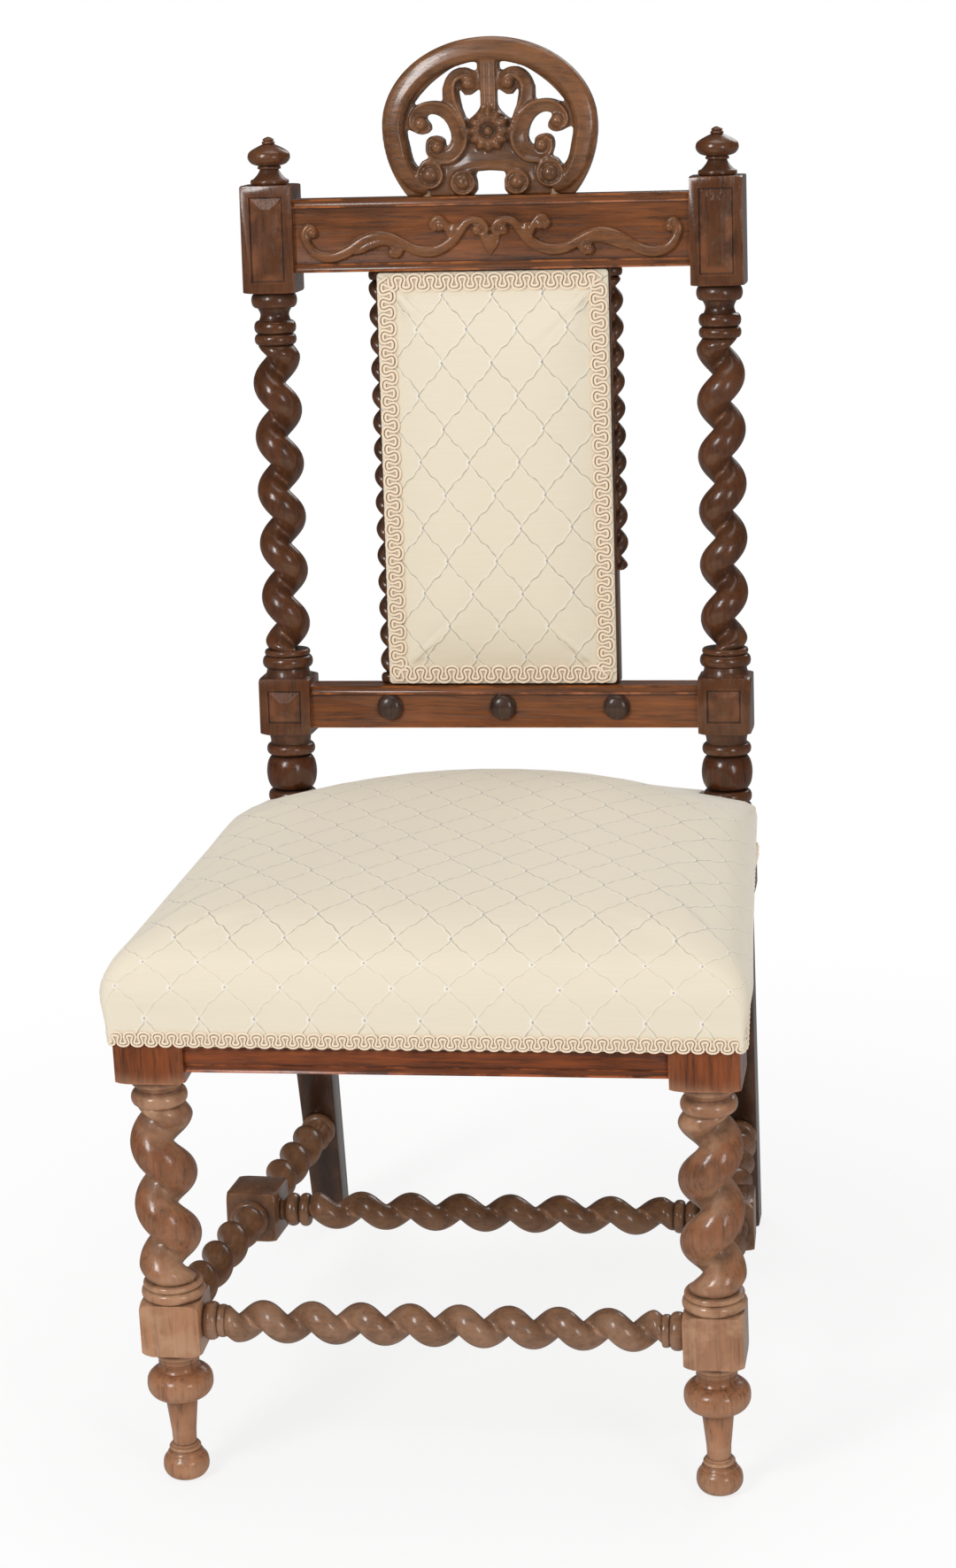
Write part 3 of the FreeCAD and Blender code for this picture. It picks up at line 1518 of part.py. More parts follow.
def front_stretcher():
    """Twisted bar between the lower blocks of the front legs."""
    span = d.front_leg_spacing - d.leg_block_side
    twist_length = span - (d.end_ring_width + d.end_collar_width) * 2
    turning = Turning()
    end_mouldings(turning)
    turning.straight(d.front_twist_offset / 2, twist_length)
    turning.straight(d.end_collar_radius, d.end_collar_width)
    turning.ring(d.end_ring_radius, d.end_ring_width)
    turning.straight(d.pin_radius, d.pin_length)
    core = turning.turned("front_stretcher_core")
    strand = twist(
        "front_stretcher_strand",
        d.front_twist_radius,
        d.front_twist_offset,
        d.front_twist_pitch,
        twist_length,
        twist_length / 2 + d.front_twist_phase,
        1,
        180,
        6,
    )
    place(strand, z=d.pin_length + d.end_ring_width + d.end_collar_width)
    made = fuse("front_stretcher", [core, strand])
    place(
        made,
        -(span / 2 + d.pin_length),
        front_y,
        d.stretcher_height,
        (0, 1, 0),
        QUARTER,
    )
    return finish_node(made, "front_stretcher")


mid_share = (plain(d.side_block_start) + plain(d.side_block_length) / 2) / side_length
side_mid = stretcher_front + stretcher_run * mid_share
side_lean = stretcher_run.x / stretcher_run.y
cross_half = (
    side_mid.x
    - plain(d.side_block_side) / 2 * math.hypot(1, side_lean)
    - plain(d.cross_end_radius) * abs(side_lean)
    - plain(d.fit_gap)
)


def cross_turning(length):
    turning = Turning()
    turning.straight(d.pin_radius, d.pin_length)
    turning.straight(d.cross_end_radius, d.cross_end_width)
    turning.swell(d.cross_end_radius, d.cross_bead_radius, d.cross_bulb_width, BEAD_SHARES)
    turning.ring(d.cross_bead_radius, d.cross_bead_width)
    turning.straight(d.cross_twist_offset / 2, length)
    turning.ring(d.cross_bead_radius, d.cross_bead_width)
    turning.swell(d.cross_end_radius, d.cross_bead_radius, d.cross_bulb_width, BEAD_SHARES)
    turning.straight(d.cross_end_radius, d.cross_end_width)
    turning.straight(d.pin_radius, d.pin_length)
    return turning


def cross_stretcher():
    """Twisted bar between the middle blocks of the side stretchers."""
    ends = plain(d.cross_end_width + d.cross_bulb_width + d.cross_bead_width)
    length = worked_out(cross_half * 2 - ends * 2)
    core = cross_turning(length).turned("cross_stretcher_core")
    strand = twist(
        "cross_stretcher_strand",
        d.cross_twist_radius,
        d.cross_twist_offset,
        d.cross_twist_pitch,
        length,
        length / 2 + d.cross_twist_phase,
        1,
        180,
        6,
    )
    place(strand, z=d.pin_length + d.cross_end_width + d.cross_bulb_width + d.cross_bead_width)
    made = fuse("cross_stretcher", [core, strand])
    turn = FreeCAD.Rotation(FreeCAD.Vector(0, 1, 0), 90)
    made.Placement = FreeCAD.Placement(
        FreeCAD.Vector(-cross_half - plain(d.pin_length), side_mid.y, side_mid.z), turn
    )
    return finish_node(made, "cross_stretcher")


def side_stretcher(side_name, side):
    """Twisted bar from a front leg to a rear leg, with a square block in the middle that the
    cross stretcher enters."""
    name = "side_stretcher_" + side_name
    front_run = d.side_block_start - d.side_ring_width - d.end_ring_width
    back_start = d.side_block_start + d.side_block_length + d.side_ring_width
    back_run = worked_out(side_length - plain(back_start + d.end_ring_width))
    turning = Turning()
    turning.straight(d.end_collar_radius, d.shoulder_waste)
    turning.ring(d.end_ring_radius, d.end_ring_width)
    turning.straight(d.cross_twist_offset / 2, front_run)
    turning.ring(d.side_ring_radius, d.side_ring_width)
    turning.straight(d.end_collar_radius, d.side_block_length)
    turning.ring(d.side_ring_radius, d.side_ring_width)
    turning.straight(d.cross_twist_offset / 2, back_run)
    turning.ring(d.end_ring_radius, d.end_ring_width)
    turning.straight(d.end_collar_radius, d.shoulder_waste)
    core = turning.turned(name + "_core")
    strands = []
    after_block = d.side_block_start + d.side_block_length + d.side_ring_width
    for tag, start, run in (
        ("front", d.end_ring_width, front_run),
        ("back", after_block, back_run),
    ):
        strand = twist(
            "%s_%s_strand" % (name, tag),
            d.cross_twist_radius,
            d.cross_twist_offset,
            d.side_twist_pitch,
            run,
            ZERO,
            -side,
            90,
            6,
        )
        place(strand, z=d.shoulder_waste + start)
        strands.append(strand)
    half = d.side_block_side / 2
    start = d.shoulder_waste + d.side_block_start
    block = box(name + "_block", (-half, -half, start), (half, half, start + d.side_block_length))
    blank = fuse(name + "_blank", [core, block] + strands)
    spot = side_placement(side)
    along = FreeCAD.Vector(side_axis(side)[1]).normalize()
    blank.Placement = FreeCAD.Placement(spot.Base - along * plain(d.shoulder_waste), spot.Rotation)
    hole = prism(
        name + "_cross_hole",
        d.pin_radius + d.fit_gap,
        d.pin_length + d.fit_gap + d.overrun * 4,
    )
    turn = FreeCAD.Rotation(FreeCAD.Vector(0, side, 0), 90)
    inner = side_mid.x - plain(d.side_block_side) / 2 - plain(d.shoulder_waste)
    hole.Placement = FreeCAD.Placement(FreeCAD.Vector(inner * side, side_mid.y, side_mid.z), turn)
    peg_hole = peg_solid(name + "_peg_hole", side, d.fit_gap)
    reach = d.leg_block_side
    waste = box(
        name + "_front_waste",
        (leg_half * side - reach, front_y - reach, d.stretcher_height - reach),
        (leg_half * side + reach, front_y + d.leg_block_side / 2, d.stretcher_height + reach),
    )
    shaped = cut(name + "_shaped", blank, [hole, peg_hole, waste, rear_leg_wedge(name + "_rear_waste", side)])
    pins = []
    run = side_axis(side)[1]
    front_end = -along * plain(d.pin_length)
    rear_end = run - along * plain(d.end_ring_width)
    for tag, back in (("front", front_end), ("rear", rear_end)):
        one = prism("%s_%s_pin" % (name, tag), d.pin_radius, d.pin_length + d.end_ring_width)
        one.Placement = FreeCAD.Placement(spot.Base + back, spot.Rotation)
        pins.append(one)
    return finish_node(fuse(name, [shaped] + pins), name)


def peg_solid(name, side, gap):
    """A peg down through the top of a side stretcher's block, or its hole with a gap."""
    made = prism(name, d.peg_radius + gap, d.peg_length + gap, DOWEL_SIDES)
    rest = side_mid + FreeCAD.Vector(0, 0, plain(d.pin_radius) + plain(d.fit_gap))
    made.Placement = FreeCAD.Placement(
        FreeCAD.Vector(rest.x * side, rest.y, rest.z - plain(gap)), FreeCAD.Rotation()
    )
    return made


def stretcher_pegs():
    group = doc.addObject("Part::Compound", "stretcher_pegs")
    group.Links = [peg_solid("stretcher_peg_" + side_name, side, ZERO) for side_name, side in sides.items()]
    return finish_node(group, "stretcher_pegs")


for side_name, side in sides.items():
    front_leg(side_name, side)
    rear_post(side_name, side)
    panel_stile(side_name, side)
    half_twist_strip(side_name, side)
    seat_rail_side_node(side_name, side)
    side_stretcher(side_name, side)
finials()
top_rail()
low_rail()
rail_buttons()
crest()
crest_dowels()
panel_rails()
back_webbing()
back_pad()
back_gimp()
back_cover()
seat_rail_front_node()
seat_rail_back_node()
corner_blocks()
seat_webbing()
seat_hessian()
seat_pad()
seat_cover_skirt()
seat_gimp()
front_stretcher()
cross_stretcher()
stretcher_pegs()

doc.recompute()

faults = []
for thing in doc.Objects:
    if "Invalid" in thing.State or "Error" in thing.State:
        faults.append("%s is %s" % (thing.Name, thing.State))
for label, thing in finished.items():
    shape = thing.Shape
    if shape.isNull() or not shape.isValid() or not shape.Solids:
        faults.append(label + " has no valid solid")
if faults:
    raise SystemExit("\n".join(faults))

os.makedirs("parts", exist_ok=True)
for label, thing in finished.items():
    thing.Shape.exportStep("parts/%s.step" % label)
    print("%-24s %2d solids %9.0f mm3" % (label, len(thing.Shape.Solids), thing.Shape.Volume))
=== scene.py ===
import math
from types import SimpleNamespace

import bpy
from mathutils import Matrix, Vector


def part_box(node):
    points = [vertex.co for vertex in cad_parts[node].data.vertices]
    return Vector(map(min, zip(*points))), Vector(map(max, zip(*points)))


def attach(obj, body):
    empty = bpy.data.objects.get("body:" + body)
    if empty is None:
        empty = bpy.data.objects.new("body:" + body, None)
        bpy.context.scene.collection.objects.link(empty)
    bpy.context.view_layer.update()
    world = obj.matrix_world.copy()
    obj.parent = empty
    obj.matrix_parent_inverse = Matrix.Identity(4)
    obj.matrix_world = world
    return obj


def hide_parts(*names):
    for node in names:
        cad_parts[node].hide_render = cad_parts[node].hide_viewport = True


# Side chair in turned walnut with a pierced crest and cream figured upholstery.
# Lengths are in millimetres until they are placed, and MM turns them into metres.

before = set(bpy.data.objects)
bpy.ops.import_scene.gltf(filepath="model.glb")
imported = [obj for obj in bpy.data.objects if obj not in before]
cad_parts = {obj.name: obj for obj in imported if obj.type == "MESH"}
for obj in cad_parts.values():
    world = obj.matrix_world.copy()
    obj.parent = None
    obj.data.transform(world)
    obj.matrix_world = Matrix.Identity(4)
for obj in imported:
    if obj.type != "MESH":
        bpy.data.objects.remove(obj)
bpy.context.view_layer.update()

MM = 0.001
ROUND = 2 * math.pi
SIDES = {"left": -1, "right": 1}
ROOT = "root"

size = SimpleNamespace(
    hip_depth=435.0,
    heel_depth=493.0,
    origin_depth=241.7,
    back_rake=6.4,
    hip_top=392.0,
    leg_block=45.0,
    leg_top_block=52.0,
    post_block=42.5,
    rear_foot=27.0,
    rear_leg=36.0,
    rear_leg_top=325.0,
    stretcher_height=130.0,
    stretcher_fall=36.0,
    gimp_width=16.0,
    weave_repeat=(41.0, 54.0),
)

leg_low, leg_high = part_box("front_leg_right")
post_low, post_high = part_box("rear_post_right")
LEG_X = (leg_low.x + leg_high.x) / 2 / MM
LEG_Y = (leg_low.y + leg_high.y) / 2 / MM
POST_X = (post_low.x + post_high.x) / 2 / MM
HIP_Y = size.hip_depth - size.origin_depth
HEEL_Y = size.heel_depth - size.origin_depth
POST_FACE = -size.post_block / 2


DOUBLES = 0.000002


# Small helpers for picking, placing and finishing meshes

def linked(thing):
    bpy.context.scene.collection.objects.link(thing)
    return thing


def pick(*things):
    bpy.ops.object.select_all(action="DESELECT")
    for thing in things:
        thing.select_set(True)
    bpy.context.view_layer.objects.active = things[0]
    return things[0]


def edit_all():
    bpy.ops.object.mode_set(mode="EDIT")
    bpy.ops.mesh.select_all(action="SELECT")


def done():
    bpy.ops.object.mode_set(mode="OBJECT")


def bare(name, points, edges, faces=()):
    """A new mesh object from points in millimetres, selected alone."""
    mesh = bpy.data.meshes.new(name)
    mesh.from_pydata([Vector(p) * MM for p in points], edges, faces)
    return pick(linked(bpy.data.objects.new(name, mesh)))


def outward(thing):
    """Turn all normals of a closed shape outwards."""
    edit_all()
    bpy.ops.mesh.normals_make_consistent(inside=False)
    done()
    return thing


def tube_faces(rings, around, closed=False):
    """Faces between rings of equally many corners. A closed run joins the last to the first."""
    faces = []
    for i in range(rings if closed else rings - 1):
        j = (i + 1) % rings
        for k in range(around):
            n = (k + 1) % around
            faces.append((i * around + k, i * around + n, j * around + n, j * around + k))
    return faces


def end_faces(rings, around):
    """The two flat ends of an open run of rings."""
    return [tuple(range(around)), tuple(reversed([(rings - 1) * around + k for k in range(around)]))]


def settle(thing, matrix=Matrix.Identity(4)):
    """Move a piece into its place and keep the place in its mesh."""
    pick(thing)
    thing.matrix_world = matrix @ thing.matrix_world
    bpy.context.view_layer.update()
    bpy.ops.object.transform_apply(location=True, rotation=True, scale=True)
    return thing


def modify(thing, kind, **values):
    """Add a modifier with its settings and apply it."""
    modifier = thing.modifiers.new(kind.lower(), kind)
    for key, value in values.items():
        setattr(modifier, key, value)
    pick(thing)
    bpy.ops.object.modifier_apply(modifier=modifier.name)
    return thing


def joined(name, things):
    pick(*things)
    if len(things) > 1:
        bpy.ops.object.join()
    things[0].name = name
    things[0].data.name = name
    return things[0]


def smooth(thing, angle=38.0):
    pick(thing)
    bpy.ops.object.shade_smooth_by_angle(angle=math.radians(angle))
    return thing


def eased(thing, width, segments=2):
    """Round the sharp edges a little."""
    modify(
        thing,
        "BEVEL",
        width=width * MM,
        segments=segments,
        limit_method="ANGLE",
        angle_limit=math.radians(32.0),
        harden_normals=False,
    )
    return smooth(thing)


def copy_of(node, name):
    """A copy of a CAD shape with its doubled corners merged."""
    thing = pick(linked(bpy.data.objects.new(name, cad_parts[node].data.copy())))
    edit_all()
    bpy.ops.mesh.remove_doubles(threshold=DOUBLES)
    done()
    return thing


def at(x, y, z):
    return Matrix.Translation(Vector((x, y, z)) * MM)


def in_back(x=0.0):
    """The place of the leaning back: its Z runs up the posts from the top of the hip blocks."""
    return at(x, HIP_Y, size.hip_top) @ Matrix.Rotation(-math.radians(size.back_rake), 4, "X")


def wave_step(t):
    t = min(max(t, 0.0), 1.0)
    return t * t * (3 - 2 * t)


def through(points, steps):
    """A smooth line through points (Catmull-Rom)."""
    last = len(points) - 1
    line = []
    for i in range(last):
        p = [Vector(points[min(max(i + k, 0), last)]) for k in (-1, 0, 1, 2)]
        for j in range(steps):
            t = j / steps
            first = 2 * p[1] + (p[2] - p[0]) * t
            second = (2 * p[0] - 5 * p[1] + 4 * p[2] - p[3]) * t * t
            third = (3 * p[1] - p[0] - 3 * p[2] + p[3]) * t * t * t
            line.append(0.5 * (first + second + third))
    line.append(Vector(points[-1]))
    return line


def coloured(thing, material):
    """Give a finished piece its finish and its body."""
    thing.data.materials.clear()
    thing.data.materials.append(material)
    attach(thing, ROOT)
    return thing


def stands_for(thing, node, material, more=()):
    """Hand a finished piece over: it takes its finish, rides on its body and hides the nodes it stands for.
    """
    coloured(thing, material)
    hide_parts(node, *more)
    return thing


# Turned work

class Outline:
    """Half the outline of a turned piece, built up from the bottom of its axis."""

    def __init__(self, low=0.0):
        self.points = [(0.0, low)]
        self.height = low

    def to(self, radius, rise=0.0):
        self.height += rise
        self.points.append((radius, self.height))
        return self

    def straight(self, radius, rise):
        self.to(radius)
        return self.to(radius, rise)

    def ring(self, radius, rise, depth):
        """A half-round ring that stands out of a groove at each side."""
        steps = 8
        low = self.height
        for i in range(steps + 1):
            angle = math.pi * (i / steps - 0.5)
            out = math.cos(angle) ** 0.8 if abs(math.cos(angle)) > 1e-6 else 0.0
            self.points.append((radius - depth + depth * out, low + rise * (1 + math.sin(angle)) / 2))
        self.height = low + rise
        return self

    def swell(self, base, radius, rise, shares):
        """A swelling through shares (height, rise from base to radius)."""
        low = self.height
        marks = [(0.0, 0.0)] + list(shares) if shares[0][0] > 0 else list(shares)
        for mark in through([(u, v, 0.0) for u, v in marks], 5):
            self.points.append((base + (radius - base) * mark[1], low + rise * mark[0]))
        self.height = low + rise
        return self

    def hollow(self, start, end, rise, depth):
        """A cove between two radii."""
        steps = 7
        low = self.height
        for i in range(steps + 1):
            t = i / steps
            radius = start + (end - start) * t - depth * math.sin(math.pi * t)
            self.points.append((radius, low + rise * t))
        self.height = low + rise
        return self

    def spun(self, name, steps=48):
        outline = self.points + [(0.0, self.height)]
        thing = bare(name, [(r, 0.0, z) for r, z in outline], [(i, i + 1) for i in range(len(outline) - 1)])
        edit_all()
        bpy.ops.mesh.spin(steps=steps, angle=ROUND, center=(0, 0, 0), axis=(0, 0, 1))
        bpy.ops.mesh.select_all(action="SELECT")
        bpy.ops.mesh.remove_doubles(threshold=0.00001)
        bpy.ops.mesh.normals_make_consistent(inside=False)
        done()
        return smooth(thing)


# Shares (height, swelling) of the turned shapes
FOOT_SHARES = (
    (0.0, 0.0), (0.10, 0.55), (0.28, 0.93), (0.48, 1.0), (0.68, 0.86), (0.84, 0.42), (0.90, 0.38),
    (1.0, 0.06),
)
BULB_SHARES = ((0.0, 0.0), (0.10, 0.62), (0.30, 0.93), (0.52, 1.0), (0.74, 0.93), (0.90, 0.66), (1.0, 0.30))
BALL_SHARES = ((0.0, 0.0), (0.08, 0.50), (0.25, 0.86), (0.50, 1.0), (0.75, 0.86), (0.92, 0.50), (1.0, 0.0))
KNOB_SHARES = ((0.0, 0.0), (0.10, 0.62), (0.30, 0.96), (0.48, 1.0), (0.66, 0.84), (0.84, 0.30), (1.0, -0.35))
BEAD_SHARES = ((0.0, 0.0), (0.20, 0.72), (0.50, 1.0), (0.80, 0.72), (1.0, 0.0))
TIP_SHARES = ((0.0, 0.0), (0.4, 1.0), (0.8, -2.4), (1.0, -6.4))
BUTTON_SHARES = ((0.0, 1.0), (0.30, 0.94), (0.60, 0.66), (0.82, 0.20), (0.95, -0.4), (1.0, -0.92))

# Each twist: radius of its strand, the strand's offset from the axis, pitch, and neck at its ends
LEG_TWIST = (16.2, 8.2, 50.0, 18.0)
POST_TWIST = (12.9, 6.8, 44.4, 14.5)
FRONT_TWIST = (10.9, 5.3, 37.5, 11.6)
SIDE_TWIST = (10.5, 5.0, 46.0, 11.2)
CROSS_TWIST = (10.5, 5.0, 40.9, 11.2)
STRIP_TWIST = (5.4, 3.2, 22.0, 5.0)


def strand_reach(radius, offset, pitch, angle):
    """How far a round strand, wound at an offset from the axis, reaches at an angle from its
    own side."""
    samples = 60
    reach = 0.0
    for i in range(-samples, samples + 1):
        along = radius * i / samples
        turn = ROUND * along / pitch
        cut = math.sqrt(radius * radius - along * along)
        near = offset * math.cos(angle - turn)
        miss = offset * math.sin(angle - turn)
        if abs(miss) <= cut:
            reach = max(reach, near + math.sqrt(cut * cut - miss * miss))
    return reach


def twisted(name, shape, length, phase, hand, start, sides=40, per_turn=28):
    """A single-strand twist along +Z from z = 0: a round section set off the axis, screwed
    upwards. It stands at the start angle where z is phase, and thins to a neck at its ends."""
    radius, offset, pitch, neck = shape
    lead = math.radians(start) - hand * ROUND * phase / pitch
    rim = []
    for k in range(sides):
        angle = ROUND * k / sides
        out = strand_reach(radius, offset, pitch, min(angle, ROUND - angle))
        rim.append((out * math.cos(lead + hand * angle), out * math.sin(lead + hand * angle), 0.0))
    thing = bare(name, rim, [(k, (k + 1) % sides) for k in range(sides)])
    steps = max(8, round(length / pitch * per_turn))
    modify(
        thing,
        "SCREW",
        angle=hand * ROUND * length / pitch,
        screw_offset=length * MM,
        steps=steps,
        render_steps=steps,
        use_smooth_shade=True,
    )
    ease = radius * 0.8
    for vertex in thing.data.vertices:
        z = vertex.co.z / MM
        t = min(z, length - z) / ease
        if t < 1:
            out = math.hypot(vertex.co.x, vertex.co.y) / MM
            wanted = min(out, neck)
            scale = (wanted + (out - wanted) * math.sqrt(wave_step(t))) / max(out, 0.001)
            vertex.co.x *= scale
            vertex.co.y *= scale
    edit_all()
    bpy.ops.mesh.fill_holes(sides=0)
    bpy.ops.mesh.select_all(action="SELECT")
    bpy.ops.mesh.normals_make_consistent(inside=False)
    done()
    return smooth(thing, 60.0)


def box(name, middle, sides):
    bpy.ops.object.select_all(action="DESELECT")
    bpy.ops.mesh.primitive_cube_add(size=1, location=Vector(middle) * MM)
    thing = bpy.context.object
    thing.name = name
    thing.scale = Vector(sides) * MM
    return settle(thing)


def box_tool(name, low, high):
    """A plain box between two corners, given in millimetres."""
    return box(name, (Vector(low) + Vector(high)) / 2, Vector(high) - Vector(low))


BARREL_SHARES = (0.60, 0.665, 0.72, 0.72, 0.665, 0.60)


def cut_block(name, side, low, high, shoulder):
    """A square block left on a turned piece, its corners rounded over where the turning
    tool came up to it."""
    block = box(name, (0, 0, (low + high) / 2), (side, side, high - low))
    near, far = shoulder * 0.35, shoulder * 0.65
    barrel = Outline(low)
    for share, rise in zip(BARREL_SHARES, (0.0, near, far, high - low - shoulder * 2, far, near)):
        barrel.to(side * share, rise)
    tool = barrel.spun(name + "_barrel", 64)
    modify(block, "BOOLEAN", operation="INTERSECT", object=tool, solver="EXACT")
    bpy.data.objects.remove(tool)
    return block


def cut_away(thing, tool, solver="EXACT"):
    modify(thing, "BOOLEAN", operation="DIFFERENCE", object=tool, solver=solver)
    bpy.data.objects.remove(tool)
    return thing


def sunk_field(block, low, high, side, panel):
    """Sink a panel into the front of a block and raise a hipped field in it."""
    (wide, margin), recess, ledge, slope, rise, brim = panel
    half = wide / 2
    face = -side / 2
    floor = face + recess
    bottom, top = low + margin, high - margin
    cut_away(block, box_tool("panel_room", (-half, face - recess, bottom), (half, floor, top)))
    half -= ledge
    field_low = (-half, floor - brim, bottom + ledge)
    field = box_tool("panel_field", field_low, (half, floor + recess, top - ledge))
    bpy.ops.object.mode_set(mode="EDIT")
    bpy.ops.mesh.select_mode(type="FACE")
    bpy.ops.mesh.select_all(action="DESELECT")
    done()
    for side_face in field.data.polygons:
        side_face.select = side_face.normal.y < -0.99
    bpy.ops.object.mode_set(mode="EDIT")
    bpy.ops.mesh.inset(thickness=slope * MM, depth=(rise - brim) * MM)
    done()
    return joined(block.name, [block, field])


# Front legs

def front_leg(side_name, side):
    name = "front_leg_" + side_name
    turning = Outline()
    turning.swell(11.0, 17.6, 23.0, FOOT_SHARES)
    turning.ring(12.2, 3.2, 1.6)
    turning.to(10.0, 1.8)
    turning.to(9.0)
    turning.to(9.4, 10.0)
    turning.to(12.4, 29.0)
    turning.swell(12.6, 25.2, 24.0, BULB_SHARES)
    turning.hollow(16.4, 15.6, 6.0, 1.2)
    turning.straight(15.3, 4.0)
    turning.ring(17.2, 5.0, 2.0)
    turning.to(14.0, 3.0)
    block_low = turning.height
    block_rise = 42.0
    turning.straight(14.0, block_rise)
    turning.ring(24.3, 9.0, 4.2)
    turning.ring(22.6, 5.0, 2.4)
    twist_low = turning.height
    turning.straight(6.0, 143.0)
    twist_high = turning.height
    turning.ring(21.2, 11.0, 4.6)
    turning.hollow(17.0, 19.0, 5.0, 1.0)
    turning.ring(21.0, 8.0, 3.0)
    top_low = turning.height
    core = turning.spun(name + "_turning")
    strand = twisted(name + "_twist", LEG_TWIST, twist_high - twist_low, 113.0, side, 0 if side > 0 else 180)
    settle(strand, at(0, 0, twist_low))
    block = cut_block(name + "_block", size.leg_block, block_low, block_low + block_rise, 4.0)
    eased(block, 0.9)
    top = cut_block(name + "_top", size.leg_top_block, top_low, size.hip_top, 2.0)
    eased(top, 0.9)
    leg = joined(name + "_turned", [core, strand, block, top])
    settle(leg, at(LEG_X * side, LEG_Y, 0))
    stands_for(leg, name, finish.leg)


# Rear posts

# Panel: (width, margin), recess, ledge round the field, width and rise of its slope, its brim
LONG_PANEL = ((28.0, 9.0), 1.6, 1.4, 8.6, 2.6, 0.8)
SHORT_PANEL = ((28.0, 10.0), 1.6, 1.4, 8.6, 2.8, 0.8)


def rear_post(side_name, side):
    name = "rear_post_" + side_name
    turning = Outline()
    turning.ring(20.2, 10.5, 4.0)
    turning.ring(20.2, 10.5, 4.0)
    turning.swell(14.5, 21.0, 30.0, BALL_SHARES)
    turning.ring(20.2, 9.5, 4.0)
    turning.hollow(16.6, 18.6, 9.4, 0.6)
    mid_low = turning.height
    turning.straight(12.0, 47.3)
    mid_high = turning.height
    turning.hollow(19.6, 17.4, 7.0, 0.4)
    turning.ring(21.0, 10.5, 4.4)
    turning.ring(19.0, 5.0, 2.2)
    twist_low = turning.height
    turning.straight(5.0, 253.2)
    twist_high = turning.height
    turning.ring(17.3, 9.0, 3.6)
    turning.ring(17.3, 11.0, 4.4)
    turning.hollow(13.2, 14.0, 10.0, 1.8)
    turning.ring(18.9, 13.0, 5.0)
    top_low = turning.height
    top_high = top_low + 87.0
    core = turning.spun(name + "_turning")
    strand = twisted(name + "_twist", POST_TWIST, twist_high - twist_low, 223.0, side, 0 if side > 0 else 180)
    settle(strand, at(0, 0, twist_low))
    mid = cut_block(name + "_mid_block", size.post_block, mid_low, mid_high, 2.6)
    eased(mid, 0.7)
    mid = sunk_field(mid, mid_low, mid_high, size.post_block, SHORT_PANEL)
    top = cut_block(name + "_top_block", size.post_block, top_low, top_high, 1.6)
    eased(top, 0.7)
    top = sunk_field(top, top_low, top_high, size.post_block, LONG_PANEL)
    upper = joined(name + "_upper", [core, strand, mid, top])
    settle(upper, in_back(POST_X * side))
    leg = box_tool(name + "_leg", (-1, -1, 0), (1, 1, size.rear_leg_top))
    for vertex in leg.data.vertices:
        foot = vertex.co.z < size.rear_leg_top / 2 * MM
        half = (size.rear_foot if foot else size.rear_leg) / 2 * MM
        lean = (HEEL_Y if foot else HIP_Y) * MM
        vertex.co.x = math.copysign(half, vertex.co.x) + POST_X * side * MM
        vertex.co.y = math.copysign(half, vertex.co.y) + lean
        vertex.co.z = 0.0 if foot else size.rear_leg_top * MM
    eased(leg, 2.0, 3)
    hip = cut_block(name + "_hip", size.post_block, size.rear_leg_top, size.hip_top, 2.0)
    settle(hip, at(POST_X * side, HIP_Y, 0))
    eased(hip, 0.9)
    post = joined(name + "_turned", [upper, leg, hip])
    stands_for(post, name, finish.post)


def finials():
    made = []
    spigot = 18.0
    for side_name, side in SIDES.items():
        turning = Outline()
        turning.straight(6.0, spigot)
        turning.ring(15.8, 4.5, 2.0)
        turning.hollow(13.6, 7.6, 8.0, 0.8)
        turning.ring(9.6, 2.6, 1.2)
        turning.swell(8.2, 17.3, 17.5, KNOB_SHARES)
        turning.ring(5.4, 2.4, 1.2)
        turning.swell(4.0, 4.6, 3.6, TIP_SHARES)
        knob = turning.spun("finial_" + side_name)
        settle(knob, in_back(POST_X * side) @ at(0, 0, level.top_high - spigot))
        made.append(knob)
    stands_for(joined("finials_turned", made), "finials", finish.post)


# Stretchers

def end_ring(turning, flip=False):
    parts = [(14.8, 11.0, 4.4), (12.6, 6.0, 1.6)]
    for radius, rise, depth in reversed(parts) if flip else parts:
        turning.ring(radius, rise, depth)


def front_stretcher():
    span = LEG_X * 2 - size.leg_block
    ends = 17.0
    length = span - ends * 2
    turning = Outline()
    end_ring(turning)
    turning.straight(4.5, length)
    end_ring(turning, True)
    core = turning.spun("front_stretcher_core")
    strand = twisted("front_stretcher_twist", FRONT_TWIST, length, length / 2 + 15.0, 1, 180)
    settle(strand, at(0, 0, ends))
    bar = joined("front_stretcher_turned", [core, strand])
    settle(bar, at(-span / 2, LEG_Y, size.stretcher_height) @ Matrix.Rotation(math.pi / 2, 4, "Y"))
    stands_for(bar, "front_stretcher", finish.stretcher_front)


def side_line(side):
    """Where a side stretcher starts on the front leg's block, and its run to the rear leg."""
    start = Vector((LEG_X, LEG_Y + size.leg_block / 2, size.stretcher_height))
    z = size.stretcher_height - size.stretcher_fall
    share = 1 - z / size.rear_leg_top
    y = HIP_Y + (HEEL_Y - HIP_Y) * share
    half = (size.rear_foot + (size.rear_leg - size.rear_foot) * (1 - share)) / 2
    end = Vector((POST_X, y - half, z))
    start.x *= side
    end.x *= side
    return start, end - start


# Where the block in a side stretcher starts, its length and its side
SIDE_BLOCK = (205.0, 46.0, 40.0)


